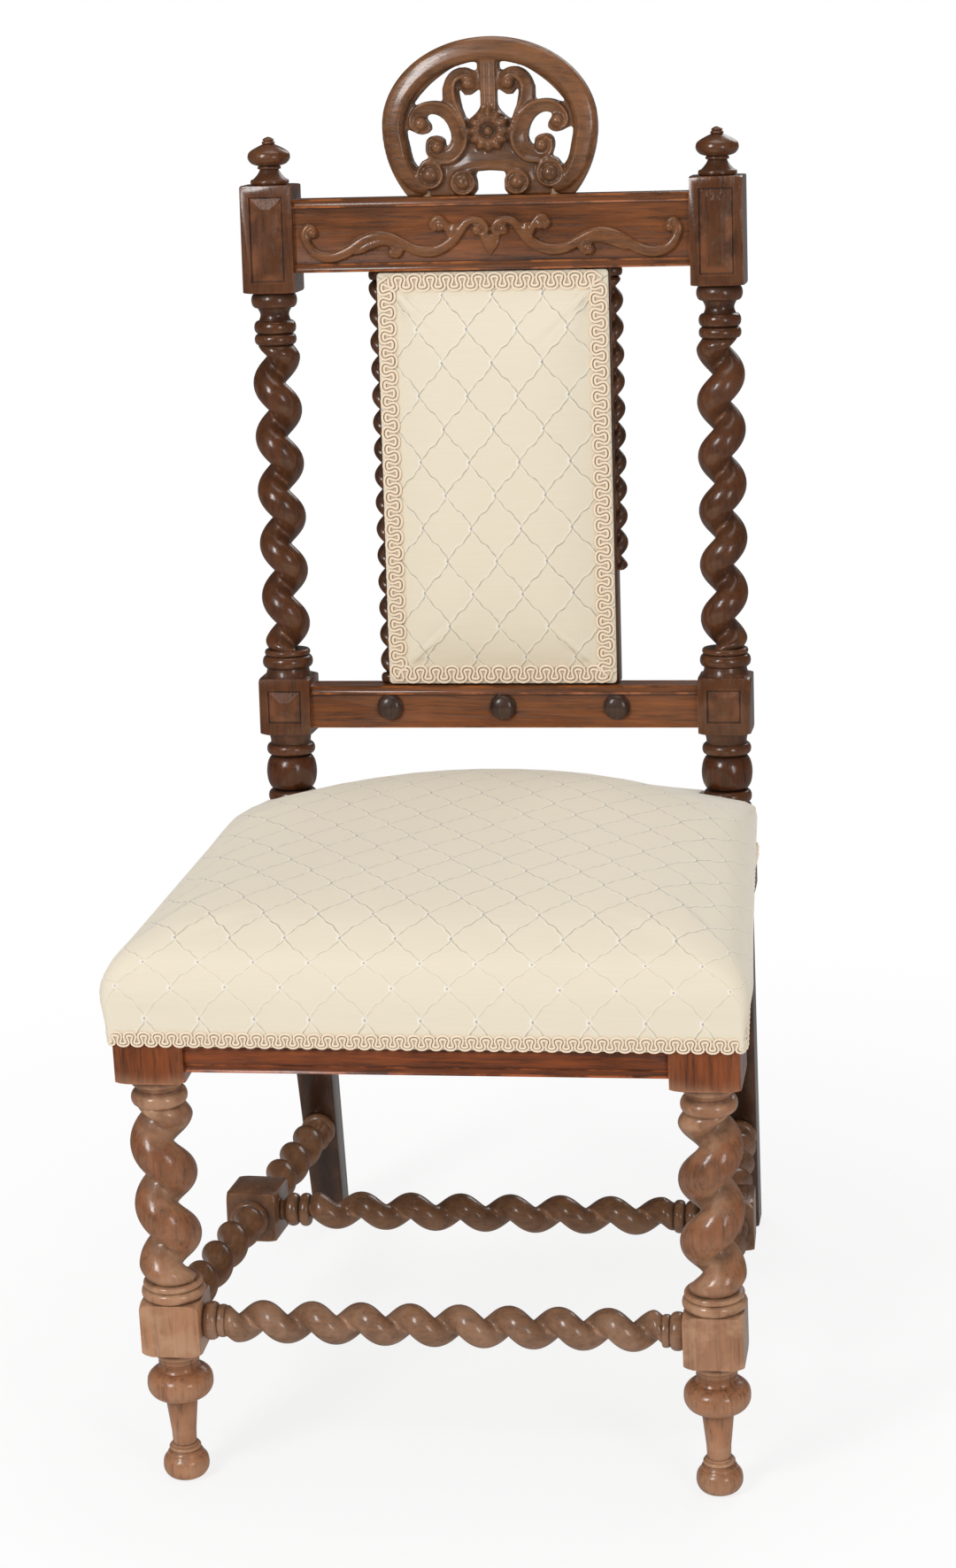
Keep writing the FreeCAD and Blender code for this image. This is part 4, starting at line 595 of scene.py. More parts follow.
def side_stretcher(side_name, side):
    name = "side_stretcher_" + side_name
    start, run = side_line(side)
    length = run.length
    block_start, block_length, block_side = SIDE_BLOCK
    front_run = block_start - 20.0
    back_start = block_start + block_length + 9.0
    back_run = length - back_start - 11.0
    turning = Outline()
    turning.ring(14.8, 11.0, 4.4)
    turning.straight(4.2, front_run)
    turning.ring(15.6, 9.0, 4.0)
    turning.straight(10.0, block_length)
    turning.ring(15.6, 9.0, 4.0)
    turning.straight(4.2, back_run)
    turning.ring(14.8, 11.0, 4.4)
    turning.straight(9.0, 3.0)
    core = turning.spun(name + "_core")
    parts = [core]
    for tag, low, reach in (("front", 11.0, front_run), ("back", back_start, back_run)):
        strand = twisted("%s_%s" % (name, tag), SIDE_TWIST, reach, 0.0, -side, 90)
        settle(strand, at(0, 0, low))
        parts.append(strand)
    block = cut_block(name + "_block", block_side, block_start, block_start + block_length, 4.0)
    eased(block, 0.9)
    bar = joined(name + "_turned", parts + [block])
    along = run.normalized()
    across = along.cross(Vector((0, 0, 1))).normalized()
    up = across.cross(along)
    turn = Matrix((across, up, along)).transposed().to_4x4()
    settle(bar, Matrix.Translation(start * MM) @ turn)
    stands_for(bar, name, finish.stretcher_y)


def cross_stretcher():
    low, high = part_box("cross_stretcher")
    reach = (high.x - low.x) / MM - 26.0
    start, run = side_line(1)
    middle = start + run * ((SIDE_BLOCK[0] + SIDE_BLOCK[1] / 2) / run.length)
    length = reach - 48.0
    turning = Outline()
    turning.straight(9.0, 3.0)
    turning.swell(9.0, 13.6, 12.5, BEAD_SHARES)
    turning.ring(13.6, 8.5, 3.4)
    turning.straight(4.2, length)
    turning.ring(13.6, 8.5, 3.4)
    turning.swell(9.0, 13.6, 12.5, BEAD_SHARES)
    turning.straight(9.0, 3.0)
    core = turning.spun("cross_stretcher_core")
    strand = twisted("cross_stretcher_twist", CROSS_TWIST, length, length / 2 + 18.0, 1, 180)
    settle(strand, at(0, 0, 24.0))
    bar = joined("cross_stretcher_turned", [core, strand])
    settle(bar, at(-reach / 2, middle.y, middle.z) @ Matrix.Rotation(math.pi / 2, 4, "Y"))
    stands_for(bar, "cross_stretcher", finish.stretcher_x)


# Pieces whose CAD shape is right: the same shape with its edges eased

def dressed(node, material, edge=0.8, segments=2):
    thing = copy_of(node, node + "_dressed")
    edit_all()
    bpy.ops.mesh.dissolve_limited(angle_limit=math.radians(1.0))
    done()
    eased(thing, edge, segments)
    return stands_for(thing, node, material)


# Heights up the leaning posts, from the top of the hip blocks

level = SimpleNamespace(mid_high=117.2, top_high=522.9)
level.rail_high = level.top_high - 11.8
level.rail_low = level.rail_high - 59.0
level.low_rail_high = level.mid_high - 6.3
level.low_rail_low = level.low_rail_high - 35.5
RAIL_FACE = POST_FACE + 5.0
RAIL_MIDDLE = RAIL_FACE + 12.0
CREST = SimpleNamespace(half=87.5, rise=126.0, eye=55.0, band=19.0, thick=17.0, ground=5.6)
RAIL_HALF = POST_X - size.post_block / 2


# Carving: ribs and scrolls laid on a ground and then fused into one surface

def tapered(widths, count):
    """Widths given at even shares of a line, one for each of its points."""
    line = []
    for i in range(count):
        t = i / (count - 1) * (len(widths) - 1)
        k = min(int(t), len(widths) - 2)
        line.append(widths[k] + (widths[k + 1] - widths[k]) * wave_step(t - k))
    return line


def rib(name, points, widths, section, relief, y, deep, side=1):
    """A carved rib in the plane of the back. section is (across, rise) shares of its half
    width and its relief, from the inner side of the curve to the outer one."""
    line = through([(x, 0.0, z) for x, z in points], 7)
    half = tapered(widths, len(line))
    corners = []
    for i, here in enumerate(line):
        ahead = line[min(i + 1, len(line) - 1)] - line[max(i - 1, 0)]
        across = Vector((ahead.z, 0, -ahead.x)).normalized() * side
        low_scale = min(1.0, half[i] / max(widths))
        for share, rise in section:
            spot = here + across * share * half[i]
            corners.append((spot.x, y - relief * rise * (0.55 + 0.45 * low_scale), spot.z))
        for share in (section[-1][0], section[0][0]):
            spot = here + across * share * half[i]
            corners.append((spot.x, y + deep, spot.z))
    loop = len(section) + 2
    return outward(bare(name, corners, (), tube_faces(len(line), loop) + end_faces(len(line), loop)))


def boss(name, x, z, radius, height, y, stretch=1.0, turn=0.0):
    """A flattened ball, as an eye, a bud or a petal, standing out of the ground."""
    bpy.ops.object.select_all(action="DESELECT")
    bpy.ops.mesh.primitive_uv_sphere_add(segments=20, ring_count=12, radius=MM)
    ball = bpy.context.object
    ball.name = name
    shape = Matrix.Diagonal(Vector((radius, height, radius * stretch, 1.0)))
    return settle(ball, at(x, y, z) @ Matrix.Rotation(turn, 4, "Y") @ shape)


# Sections of ribs: shares (across, relief) from the inner side of the curve to the outer one
RIM_SECTION = (
    (-1.0, 0.20), (-0.86, 0.55), (-0.50, 1.0), (-0.30, 0.98), (0.20, 0.84), (0.72, 0.62), (1.0, 0.22),
)
SCROLL_SECTION = (
    (-1.0, 0.10), (-0.55, 0.28), (0.05, 0.55), (0.42, 0.84), (0.62, 1.0), (0.86, 0.96), (1.0, 0.60),
)
ROUND_SECTION = (
    (-1.0, 0.0), (-0.90, 0.60), (-0.52, 0.93), (0.0, 1.0), (0.52, 0.93), (0.90, 0.60), (1.0, 0.0),
)

# Lines of the carving as shares (half width, rise) of the crest or of the top rail

RIM_FOOT_SHARES = ((0.585, 0.045), (0.680, 0.070), (0.765, 0.135), (0.832, 0.225), (0.866, 0.330))
TRUNK_SHARES = (
    (0.134, 0.672), (0.116, 0.717), (0.150, 0.761), (0.224, 0.778), (0.314, 0.750), (0.359, 0.689),
    (0.350, 0.599), (0.297, 0.510), (0.250, 0.409), (0.262, 0.319), (0.340, 0.252), (0.453, 0.236),
    (0.545, 0.272), (0.556, 0.330), (0.507, 0.360),
)
WING_SHARES = (
    (0.262, 0.380), (0.314, 0.480), (0.395, 0.543), (0.510, 0.569), (0.624, 0.556), (0.700, 0.505),
    (0.708, 0.448), (0.650, 0.412),
)
ARCH_SHARES = ((0.330, 0.050), (0.358, 0.112), (0.300, 0.170), (0.175, 0.210), (0.0, 0.224))
FOOT_SCROLL_SHARES = (
    (0.470, 0.080), (0.460, 0.150), (0.520, 0.215), (0.610, 0.205), (0.650, 0.140), (0.620, 0.075),
)
EYES = (
    # place, radius, height above the ground
    ((0.186, 0.709), 5.4, 7.0),
    ((0.486, 0.312), 5.6, 7.0),
    ((0.636, 0.462), 5.8, 7.0),
    ((0.559, 0.134), 7.8, 7.6),
    ((0.252, 0.082), 7.2, 7.4),
)
# Rings round eyes: place, radius, half width
EYE_RINGS = (((0.559, 0.134), 9.9, 1.5), ((0.252, 0.082), 9.0, 1.4))
FLOWER = SimpleNamespace(height=0.409, petals=12, inner=4.6, outer=17.8, boss=4.8, petal=4.1)


CREST_SCROLLS = (
    # name, line, half widths along it, relief above the ground, which side of it is the outer one
    ("trunk", TRUNK_SHARES, (1.8, 3.0, 4.8, 5.4, 5.2, 4.8, 3.2, 2.0), 0.4, 1),
    ("wing", WING_SHARES, (3.6, 4.8, 4.2, 2.8, 1.8), 0.2, -1),
    ("arch", ARCH_SHARES, (3.6, 5.0, 6.6, 8.2, 8.4), 0.0, -1),
    ("foot_scroll", FOOT_SCROLL_SHARES, (1.6, 2.4, 2.8, 2.4, 1.6), -0.2, -1),
)
CREST_FRONT = RAIL_MIDDLE - CREST.thick / 2
CREST_GROUND = CREST_FRONT + CREST.ground


def crest_spot(share, side=1):
    return CREST.half * share[0] * side, level.rail_high + CREST.rise * share[1]


def crest_rib(name, points, widths, section, relief, side=1):
    """A rib of the crest, let into the board to 1 mm from its back."""
    return rib(name, points, widths, section, relief, CREST_GROUND, CREST.thick - CREST.ground - 1.0, side)


def crest_board():
    """The CAD's pierced board, thinned from the front down to the ground of the carving."""
    board = copy_of("crest", "crest_ground")
    settle(board, in_back().inverted())
    back = CREST_FRONT + CREST.thick
    for vertex in board.data.vertices:
        depth = vertex.co.y / MM
        vertex.co.y = (back + (depth - back) * (CREST.thick - CREST.ground) / CREST.thick) * MM
    return board


def crest_rim():
    """The band round the crest, thinner at its two feet."""
    half_band = CREST.band / 2
    wide = CREST.half - half_band
    tall = CREST.rise - CREST.eye - half_band
    steps = 14
    arc = []
    for i in range(steps + 1):
        angle = math.pi * i / steps
        arc.append((wide * math.cos(angle), level.rail_high + CREST.eye + tall * math.sin(angle)))
    right_foot = [crest_spot(share) for share in RIM_FOOT_SHARES]
    left_foot = [crest_spot(share, -1) for share in reversed(RIM_FOOT_SHARES)]
    band = [half_band] * 9
    band[0] = band[-1] = half_band * 0.5
    band[1] = band[-2] = half_band * 0.85
    return crest_rib("crest_rim", right_foot + arc + left_foot, band, RIM_SECTION, CREST.ground + 1.2)


def crest_half(side_name, side):
    """The scrolls, eyes and rings round eyes of one half of the crest."""
    parts = []
    for tag, shares, widths, lift, outer in CREST_SCROLLS:
        name = "crest_%s_%s" % (tag, side_name)
        line = [crest_spot(share, side) for share in shares]
        parts.append(crest_rib(name, line, widths, SCROLL_SECTION, CREST.ground + lift, outer * side))
    for number, (share, radius, height) in enumerate(EYES):
        x, z = crest_spot(share, side)
        parts.append(boss("crest_eye_%s_%d" % (side_name, number), x, z, radius, height, CREST_GROUND))
    for share, radius, thick in EYE_RINGS:
        x, z = crest_spot(share, side)
        angles = [ROUND * k / 24 for k in range(25)]
        ring = [(x + radius * math.sin(angle), z + radius * math.cos(angle)) for angle in angles]
        parts.append(crest_rib("crest_eye_ring", ring, (thick, thick), ROUND_SECTION, CREST.ground + 0.2))
    return parts


def crest_flower():
    """The flower in the middle and the three flutes of the stem above it."""
    parts = []
    low = crest_spot((0.0, 0.52))[1]
    high = crest_spot((0.0, 0.86))[1]
    for offset in (-4.4, 0.0, 4.4):
        line = [(offset, low), (offset, (low + high) / 2), (offset, high)]
        parts.append(crest_rib("crest_flute", line, (2.1, 2.1), ROUND_SECTION, 2.6))
    x, z = crest_spot((0.0, FLOWER.height))
    parts.append(boss("flower_ground", x, z, FLOWER.outer - 2.0, 4.0, CREST_GROUND))
    for k in range(FLOWER.petals):
        angle = ROUND * k / FLOWER.petals
        reach = FLOWER.outer * (1.14 if k == 0 else 1.0)
        middle = (FLOWER.inner + reach) / 2
        place = (x + middle * math.sin(angle), z + middle * math.cos(angle))
        stretch = (reach - FLOWER.inner) / 2 / FLOWER.petal
        parts.append(boss("petal", *place, FLOWER.petal, 9.0, CREST_GROUND, stretch, angle))
    parts.append(boss("flower_boss", x, z, FLOWER.boss, 10.4, CREST_GROUND))
    return parts


def fused(name, parts, voxel):
    """Carved parts as one softened surface, leaned back with the posts."""
    carved = joined(name, parts)
    modify(carved, "REMESH", mode="VOXEL", voxel_size=voxel * MM, adaptivity=0.0)
    modify(carved, "SMOOTH", factor=0.5, iterations=2)
    settle(carved, in_back())
    return smooth(carved, 180.0)


def crest():
    parts = [crest_board(), crest_rim()]
    for side_name, side in SIDES.items():
        parts += crest_half(side_name, side)
    stands_for(fused("crest_carved", parts + crest_flower(), 1.0), "crest", finish.crest)


VINE_SHARES = (
    (0.046, 0.452), (0.018, 0.524), (0.033, 0.631), (0.081, 0.679), (0.125, 0.631), (0.156, 0.524),
    (0.192, 0.405), (0.245, 0.310), (0.306, 0.262), (0.377, 0.286), (0.448, 0.381), (0.509, 0.460),
    (0.571, 0.483), (0.646, 0.417), (0.726, 0.279), (0.810, 0.207), (0.885, 0.255), (0.927, 0.388),
    (0.943, 0.524), (0.920, 0.625), (0.888, 0.590),
)
BUD_SHARES = (
    (0.690, 0.262), (0.664, 0.290), (0.611, 0.357), (0.540, 0.405), (0.479, 0.357), (0.459, 0.262),
    (0.484, 0.195),
)
CURL_SHARES = (
    (0.196, 0.400), (0.205, 0.500), (0.222, 0.619), (0.258, 0.705), (0.292, 0.631), (0.274, 0.545),
)
LEAF_SHARES = ((0.196, 0.420), (0.184, 0.530), (0.182, 0.630))
VINE_EYES = (((0.066, 0.545), 4.8), ((0.496, 0.255), 4.8), ((0.252, 0.610), 5.0), ((0.900, 0.540), 4.8))


VINE_RIBS = (
    # name, line, half widths along it
    ("vine", VINE_SHARES, (2.0, 3.2, 4.2, 4.8, 4.4, 4.8, 4.6, 3.9, 2.4)),
    ("bud", BUD_SHARES, (2.0, 3.6, 3.4, 2.2)),
    ("curl", CURL_SHARES, (2.0, 3.4, 3.3, 2.0)),
    ("leaf", LEAF_SHARES, (3.0, 4.4, 3.0)),
)


def rail_spot(share, side=1):
    return RAIL_HALF * share[0] * side, level.rail_low + (level.rail_high - level.rail_low) * share[1]


def rail_rib(name, line, widths, relief):
    return rib(name, line, widths, ROUND_SECTION, relief, RAIL_FACE, 0.8)


def top_rail_carving():
    """The running vine in low relief along the front of the top rail."""
    parts = []
    for side_name, side in SIDES.items():
        for tag, shares, widths in VINE_RIBS:
            line = [rail_spot(share, side) for share in shares]
            parts.append(rail_rib("rail_%s_%s" % (tag, side_name), line, widths, 5.0))
        for number, (share, radius) in enumerate(VINE_EYES):
            x, z = rail_spot(share, side)
            parts.append(boss("rail_eye_%s_%d" % (side_name, number), x, z, radius, 6.0, RAIL_FACE))
    low = rail_spot((0.0, 0.20))[1]
    high = rail_spot((0.0, 0.47))[1]
    line = [(0.0, high), (0.0, (low + high) / 2 + 2.0), (0.0, low)]
    parts.append(rail_rib("rail_shield", line, (7.0, 7.6, 1.4), 2.6))
    for side in SIDES.values():
        parts.append(boss("shield_lobe", 4.6 * side, high - 0.5, 4.6, 2.6, RAIL_FACE))
    coloured(fused("top_rail_carving", parts, 0.8), finish.rail_carving)


def rail_buttons():
    made = []
    height = (level.low_rail_low + level.low_rail_high) / 2
    for x in (-94.5, 0.0, 94.5):
        turning = Outline()
        turning.ring(10.9, 2.6, 1.2)
        turning.swell(5.0, 10.2, 5.4, BUTTON_SHARES)
        knob = turning.spun("rail_button", 40)
        settle(knob, in_back() @ at(x, RAIL_FACE, height) @ Matrix.Rotation(math.pi / 2, 4, "X"))
        made.append(knob)
    stands_for(joined("rail_buttons_turned", made), "rail_buttons", finish.button)


def half_twist_strip(side_name, side):
    """A thin twist sawn in half, glued to the side of the panel frame. The right one is broken
    off and has lost its lower end."""
    name = "half_twist_strip_" + side_name
    whole = side < 0
    length = level.rail_low - level.low_rail_high if whole else 248.0
    end = 8.0
    run = length - end * (2 if whole else 1)
    strand = twisted(name + "_twist", STRIP_TWIST, run, 0.0, side, 0, 28, 20)
    settle(strand, at(0, 0, end if whole else 0.0))
    turning = Outline()
    turning.ring(8.4, end, 2.6)
    ends = [turning.spun(name + "_end", 28)]
    settle(ends[0], at(0, 0, length - end))
    if whole:
        ends.append(turning.spun(name + "_foot", 28))
    rod = joined(name + "_rod", [strand] + ends)
    edit_all()
    bpy.ops.mesh.bisect(plane_co=(0, 0, 0), plane_no=(side, 0, 0), use_fill=True, clear_inner=True)
    done()
    outward(rod)
    settle(rod, in_back() @ at(96.0 * side, POST_FACE + 24.0, level.rail_low - length))
    smooth(rod, 50.0)
    stands_for(rod, name, finish.strip)


# Upholstery

def middle_of(points):
    return sum((Vector(p) for p in points), Vector((0, 0, 0))) / len(points)


def rounded_plan(corners, radius, per_corner, per_side):
    """Points round a convex plan with rounded corners, evenly many at each corner and side."""
    points = []
    count = len(corners)
    starts = []
    for i in range(count):
        here = Vector(corners[i])
        before = (Vector(corners[i - 1]) - here).normalized()
        after = (Vector(corners[(i + 1) % count]) - here).normalized()
        half_angle = before.angle(after) / 2
        reach = radius[i] / math.tan(half_angle)
        centre = here + (before + after).normalized() * (radius[i] / math.sin(half_angle))
        starts.append((here + before * reach, here + after * reach, centre))
    for i in range(count):
        first, last, centre = starts[i]
        a, b = first - centre, last - centre
        angle = a.angle(b) if radius[i] > 0.01 else 0.0
        for k in range(per_corner + 1):
            t = k / per_corner
            if angle < 1e-4:
                spot = centre
            else:
                spot = centre + (a * math.sin((1 - t) * angle) + b * math.sin(t * angle)) / math.sin(angle)
            points.append((spot.x, spot.y))
        following = starts[(i + 1) % count][0]
        for k in range(1, per_side):
            spot = last.lerp(following, k / per_side)
            points.append((spot.x, spot.y))
    return points


def stacked(name, rings):
    """A skin through rings of equally many points, closed over at both ends."""
    count = len(rings[0])
    corners = [p for ring in rings for p in ring]
    faces = tube_faces(len(rings), count)
    for ring, way in ((0, -1), (len(rings) - 1, 1)):
        corners.append(tuple(middle_of(rings[ring])))
        hub = len(corners) - 1
        for k in range(count):
            pair = (ring * count + k, ring * count + (k + 1) % count)
            faces.append((*pair[::way], hub))
    return outward(bare(name, corners, (), faces))


def puffed(thing, held, pressure, cap):
    """Let the stuffing swell a cover: cloth with pressure inside, held where held(point) is
    true. No point moves further than the cap, in millimetres."""
    start = [vertex.co.copy() for vertex in thing.data.vertices]
    group = thing.vertex_groups.new(name="held")
    group.add([v.index for v in thing.data.vertices if held(v.co / MM)], 1.0, "REPLACE")
    cloth = thing.modifiers.new("cover", "CLOTH")
    cloth.settings.quality = 6
    cloth.settings.mass = 0.3
    cloth.settings.tension_stiffness = 20
    cloth.settings.compression_stiffness = 20
    cloth.settings.bending_stiffness = 0.5
    cloth.settings.use_pressure = True
    cloth.settings.uniform_pressure_force = pressure
    cloth.settings.vertex_group_mass = group.name
    cloth.settings.effector_weights.gravity = 0
    cloth.collision_settings.use_collision = False
    cloth.point_cache.frame_start = 1
    frames = 20
    cloth.point_cache.frame_end = frames
    for number in range(1, frames + 1):
        bpy.context.scene.frame_set(number)
    pick(thing)
    bpy.ops.object.modifier_apply(modifier=cloth.name)
    bpy.context.scene.frame_set(1)
    for vertex, old in zip(thing.data.vertices, start):
        move = vertex.co - old
        if move.length > cap * MM:
            vertex.co = old + move.normalized() * cap * MM
    thing.vertex_groups.clear()
    return thing


SEAT = SimpleNamespace(
    front=-size.origin_depth - size.leg_top_block / 2 + 3.0,
    back=HIP_Y + size.post_block / 2,
    skirt=4.0,
    low=362.0,
)


def rail_face(y):
    """How far out the outer face of a side rail is."""
    front, back = LEG_Y + size.leg_top_block / 2, HIP_Y - size.post_block / 2
    wide, narrow = LEG_X + size.leg_top_block / 2 - 3.0, POST_X + size.post_block / 2 - 3.0
    return wide + (narrow - wide) * (y - front) / (back - front)


SEAT_CORNERS = (
    (-rail_face(SEAT.front), SEAT.front),
    (rail_face(SEAT.front), SEAT.front),
    (rail_face(SEAT.back), SEAT.back),
    (-rail_face(SEAT.back), SEAT.back),
)


def seat_ring(inset, z, front_radius, back_radius, fall):
    """One level of the seat cover. Towards the back it falls, and most at the corners. Where
    the cover stands out, its sides swell more than its front."""
    bulge = 1.0 + 0.40 * min(max((z - 380.0) / 18.0, 0.0), 1.0) if inset < 0 else 1.0
    corners = []
    for x, y in SEAT_CORNERS:
        corners.append((x - inset * bulge * math.copysign(1.0, x), y - inset * math.copysign(1.0, y)))
    plan = rounded_plan(corners, (front_radius, front_radius, back_radius, back_radius), 7, 44)
    level_start = 20.0
    ring = []
    for x, y in plan:
        share = max(0.0, (y - level_start) / (SEAT.back - level_start))
        ring.append((x, y, z - fall * share * share * (1.1 + 1.5 * (x / SEAT_CORNERS[2][0]) ** 2)))
    return ring


SEAT_LEVELS = (
    # inset, height, front corner radius, back corner radius, fall at the back
    (0.4, 395.6, 0.5, 0.5, 0.0),
    (0.4, 362.4, 0.5, 0.5, 0.0),
    (-3.2, 362.0, 1.6, 1.6, 0.0),
    (-4.0, 366.0, 2.4, 2.4, 0.0),
    (-4.2, 378.0, 3.0, 3.0, 0.0),
    (-5.0, 388.0, 5.0, 6.0, 0.0),
    (-6.0, 398.0, 8.0, 12.0, 0.0),
    (-6.4, 407.0, 11.0, 46.0, 2.0),
    (-5.4, 416.0, 14.0, 84.0, 6.0),
    (-2.4, 424.5, 18.0, 126.0, 10.0),
    (3.6, 431.6, 22.0, 156.0, 13.5),
    (13.0, 437.0, 26.0, 172.0, 16.0),
    (27.0, 441.6, 30.0, 172.0, 17.0),
    (47.0, 445.6, 34.0, 148.0, 16.0),
    (73.0, 448.6, 38.0, 122.0, 12.0),
    (104.0, 450.4, 38.0, 90.0, 8.0),
    (135.0, 451.4, 30.0, 58.0, 4.0),
    (165.0, 451.8, 14.0, 24.0, 1.5),
)
SEAT_STEP = 7.0


def evened(levels, step, first):
    """The same levels, but from the given one on at even distances along the profile."""
    line = through([(one[0], one[1], 0.0) for one in levels[first:]], 12)
    rest = through([one[2:] for one in levels[first:]], 12)
    made = list(levels[:first])
    gone = step
    for i in range(len(line)):
        if i:
            gone += (line[i] - line[i - 1]).length
        if gone >= step or i == len(line) - 1:
            made.append((line[i].x, line[i].y, max(rest[i].x, 1.0), max(rest[i].y, 1.0), rest[i].z))
            gone = 0.0
    return made


def closed_in(ring, count):
    """The last ring drawn in towards its middle, so that its top closes in even steps."""
    middle = middle_of(ring)
    return [[tuple(Vector(p).lerp(middle, (k + 1) / (count + 1))) for p in ring] for k in range(count)]


def seat_cushion():
    levels = evened(SEAT_LEVELS, SEAT_STEP, 5)
    rings = [seat_ring(*one) for one in levels]
    rings += closed_in(rings[-1], 6)
    cover = stacked("seat_cushion", rings)
    puffed(cover, lambda p: p.z < 400.0, 1.6, 3.0)
    modify(cover, "SMOOTH", factor=0.4, iterations=2)
    unfold(cover, seat_weave)
    post_gap = 0.6
    leg = size.leg_top_block / 2 + 0.4
    for side in SIDES.values():
        xs = sorted(((POST_X - size.post_block / 2 - post_gap) * side, (POST_X + size.post_block) * side))
        low = (xs[0], HIP_Y - size.post_block / 2 - post_gap, 300.0)
        cut_away(cover, box_tool("post_room", low, (xs[1], HIP_Y + 80.0, 500.0)), "FAST")
        x = LEG_X * side
        low = (x - leg, LEG_Y - leg, 340.0)
        cut_away(cover, box_tool("leg_room", low, (x + leg, LEG_Y + leg, size.hip_top + 0.4)), "FAST")
    smooth(cover, 60.0)
    stands_for(cover, "seat_pad", finish.seat_fabric, ("seat_cover_skirt",))


def seat_weave(p, n):
    """Where a point of the cover lay on the flat cloth, in millimetres."""
    drop = max(0.0, 440.0 - p.z)
    x = p.x + math.copysign(drop * n.x * n.x, n.x)
    y = p.y + math.copysign(drop * n.y * n.y, n.y)
    return x, y


def unfold(thing, place):
    """Write where each corner lay on the flat cloth as the piece's own map, in metres."""
    mesh = thing.data
    layer = mesh.uv_layers.new(name="cloth")
    normals = [vertex.normal.copy() for vertex in mesh.vertices]
    for loop in mesh.loops:
        vertex = mesh.vertices[loop.vertex_index]
        u, v = place(vertex.co / MM, normals[loop.vertex_index])
        layer.data[loop.index].uv = (u * MM, v * MM)


PAD = SimpleNamespace(
    half=94.5,
    back=POST_FACE + 14.0 - 2.4 - 0.3,
    border=5.0,
    low=level.low_rail_high + 1.5,
    high=level.rail_low - 1.5,
)
PAD_LEVELS = (
    # inset from the edge, rise above the back face
    (0.3, 0.0),
    (0.0, 1.2),
    (0.0, 4.2),
    (1.0, 5.0),
    (15.0, 5.2),
    (16.6, 6.4),
    (19.0, 9.0),
    (23.0, 11.4),
    (29.0, 13.2),
    (38.0, 14.2),
    (50.0, 14.7),
    (64.0, 15.0),
    (80.0, 15.1),
    (91.0, 15.1),
)


def pad_plan(inset, radius, per_corner, per_side):
    """A plan round the back panel, drawn in from its edge."""
    half, low, high = PAD.half - inset, PAD.low + inset, PAD.high - inset
    corners = ((-half, low), (half, low), (half, high), (-half, high))
    return rounded_plan(corners, (radius,) * 4, per_corner, per_side)


def back_cushion():
    rings = []
    for inset, rise in PAD_LEVELS:
        soft = min(3.0 + inset * 0.10, (PAD.half - inset) * 0.9)
        rings.append([(x, PAD.back - rise, z) for x, z in pad_plan(inset, soft, 6, 16)])
    cover = stacked("back_cushion", rings)
    tacked = PAD.back - 6.0
    puffed(cover, lambda p: p.y > tacked, 2.0, 5.0)
    unfold(cover, lambda p, n: (p.x, p.z))
    settle(cover, in_back())
    smooth(cover, 50.0)
    stands_for(cover, "back_pad", finish.back_fabric)


# Braid: two cords that wander side by side between its edges

BRAID = SimpleNamespace(pitch=13.2, half=5.4, swing=2.2, cord=1.15, gap=1.45, per_turn=18, sides=6)


def along_path(points, closed):
    """Running lengths of a path and a function from a length to (place, direction)."""
    line = [Vector(p) for p in points]
    if closed:
        line.append(line[0])
    lengths = [0.0]
    for a, b in zip(line, line[1:]):
        lengths.append(lengths[-1] + (b - a).length)

    def find(s):
        s = s % lengths[-1] if closed else min(max(s, 0.0), lengths[-1])
        low, high = 0, len(lengths) - 1
        while high - low > 1:
            middle = (low + high) // 2
            if lengths[middle] <= s:
                low = middle
            else:
                high = middle
        span = lengths[high] - lengths[low]
        t = (s - lengths[low]) / span if span else 0.0
        return line[low].lerp(line[high], t), (line[high] - line[low]).normalized()

    return lengths[-1], find


def swept(name, line, radius, sides, closed, press, outs):
    """A cord of a few sides along a line of points. press flattens it along outs, the way
    that it stands off at each point."""
    corners = []
    count = len(line)
    for i, here in enumerate(line):
        after = (i + 1) % count if closed else min(i + 1, count - 1)
        before = i - 1 if closed else max(i - 1, 0)
        ahead = (line[after] - line[before]).normalized()
        lift = (outs[i] - ahead * outs[i].dot(ahead)).normalized()
        across = ahead.cross(lift)
        for k in range(sides):
            angle = ROUND * (k + 0.5) / sides
            spot = here + across * math.cos(angle) * radius + lift * math.sin(angle) * radius * press
            corners.append(tuple(spot))
    faces = tube_faces(count, sides, closed)
    if not closed:
        faces += end_faces(count, sides)
    return outward(bare(name, corners, (), faces))


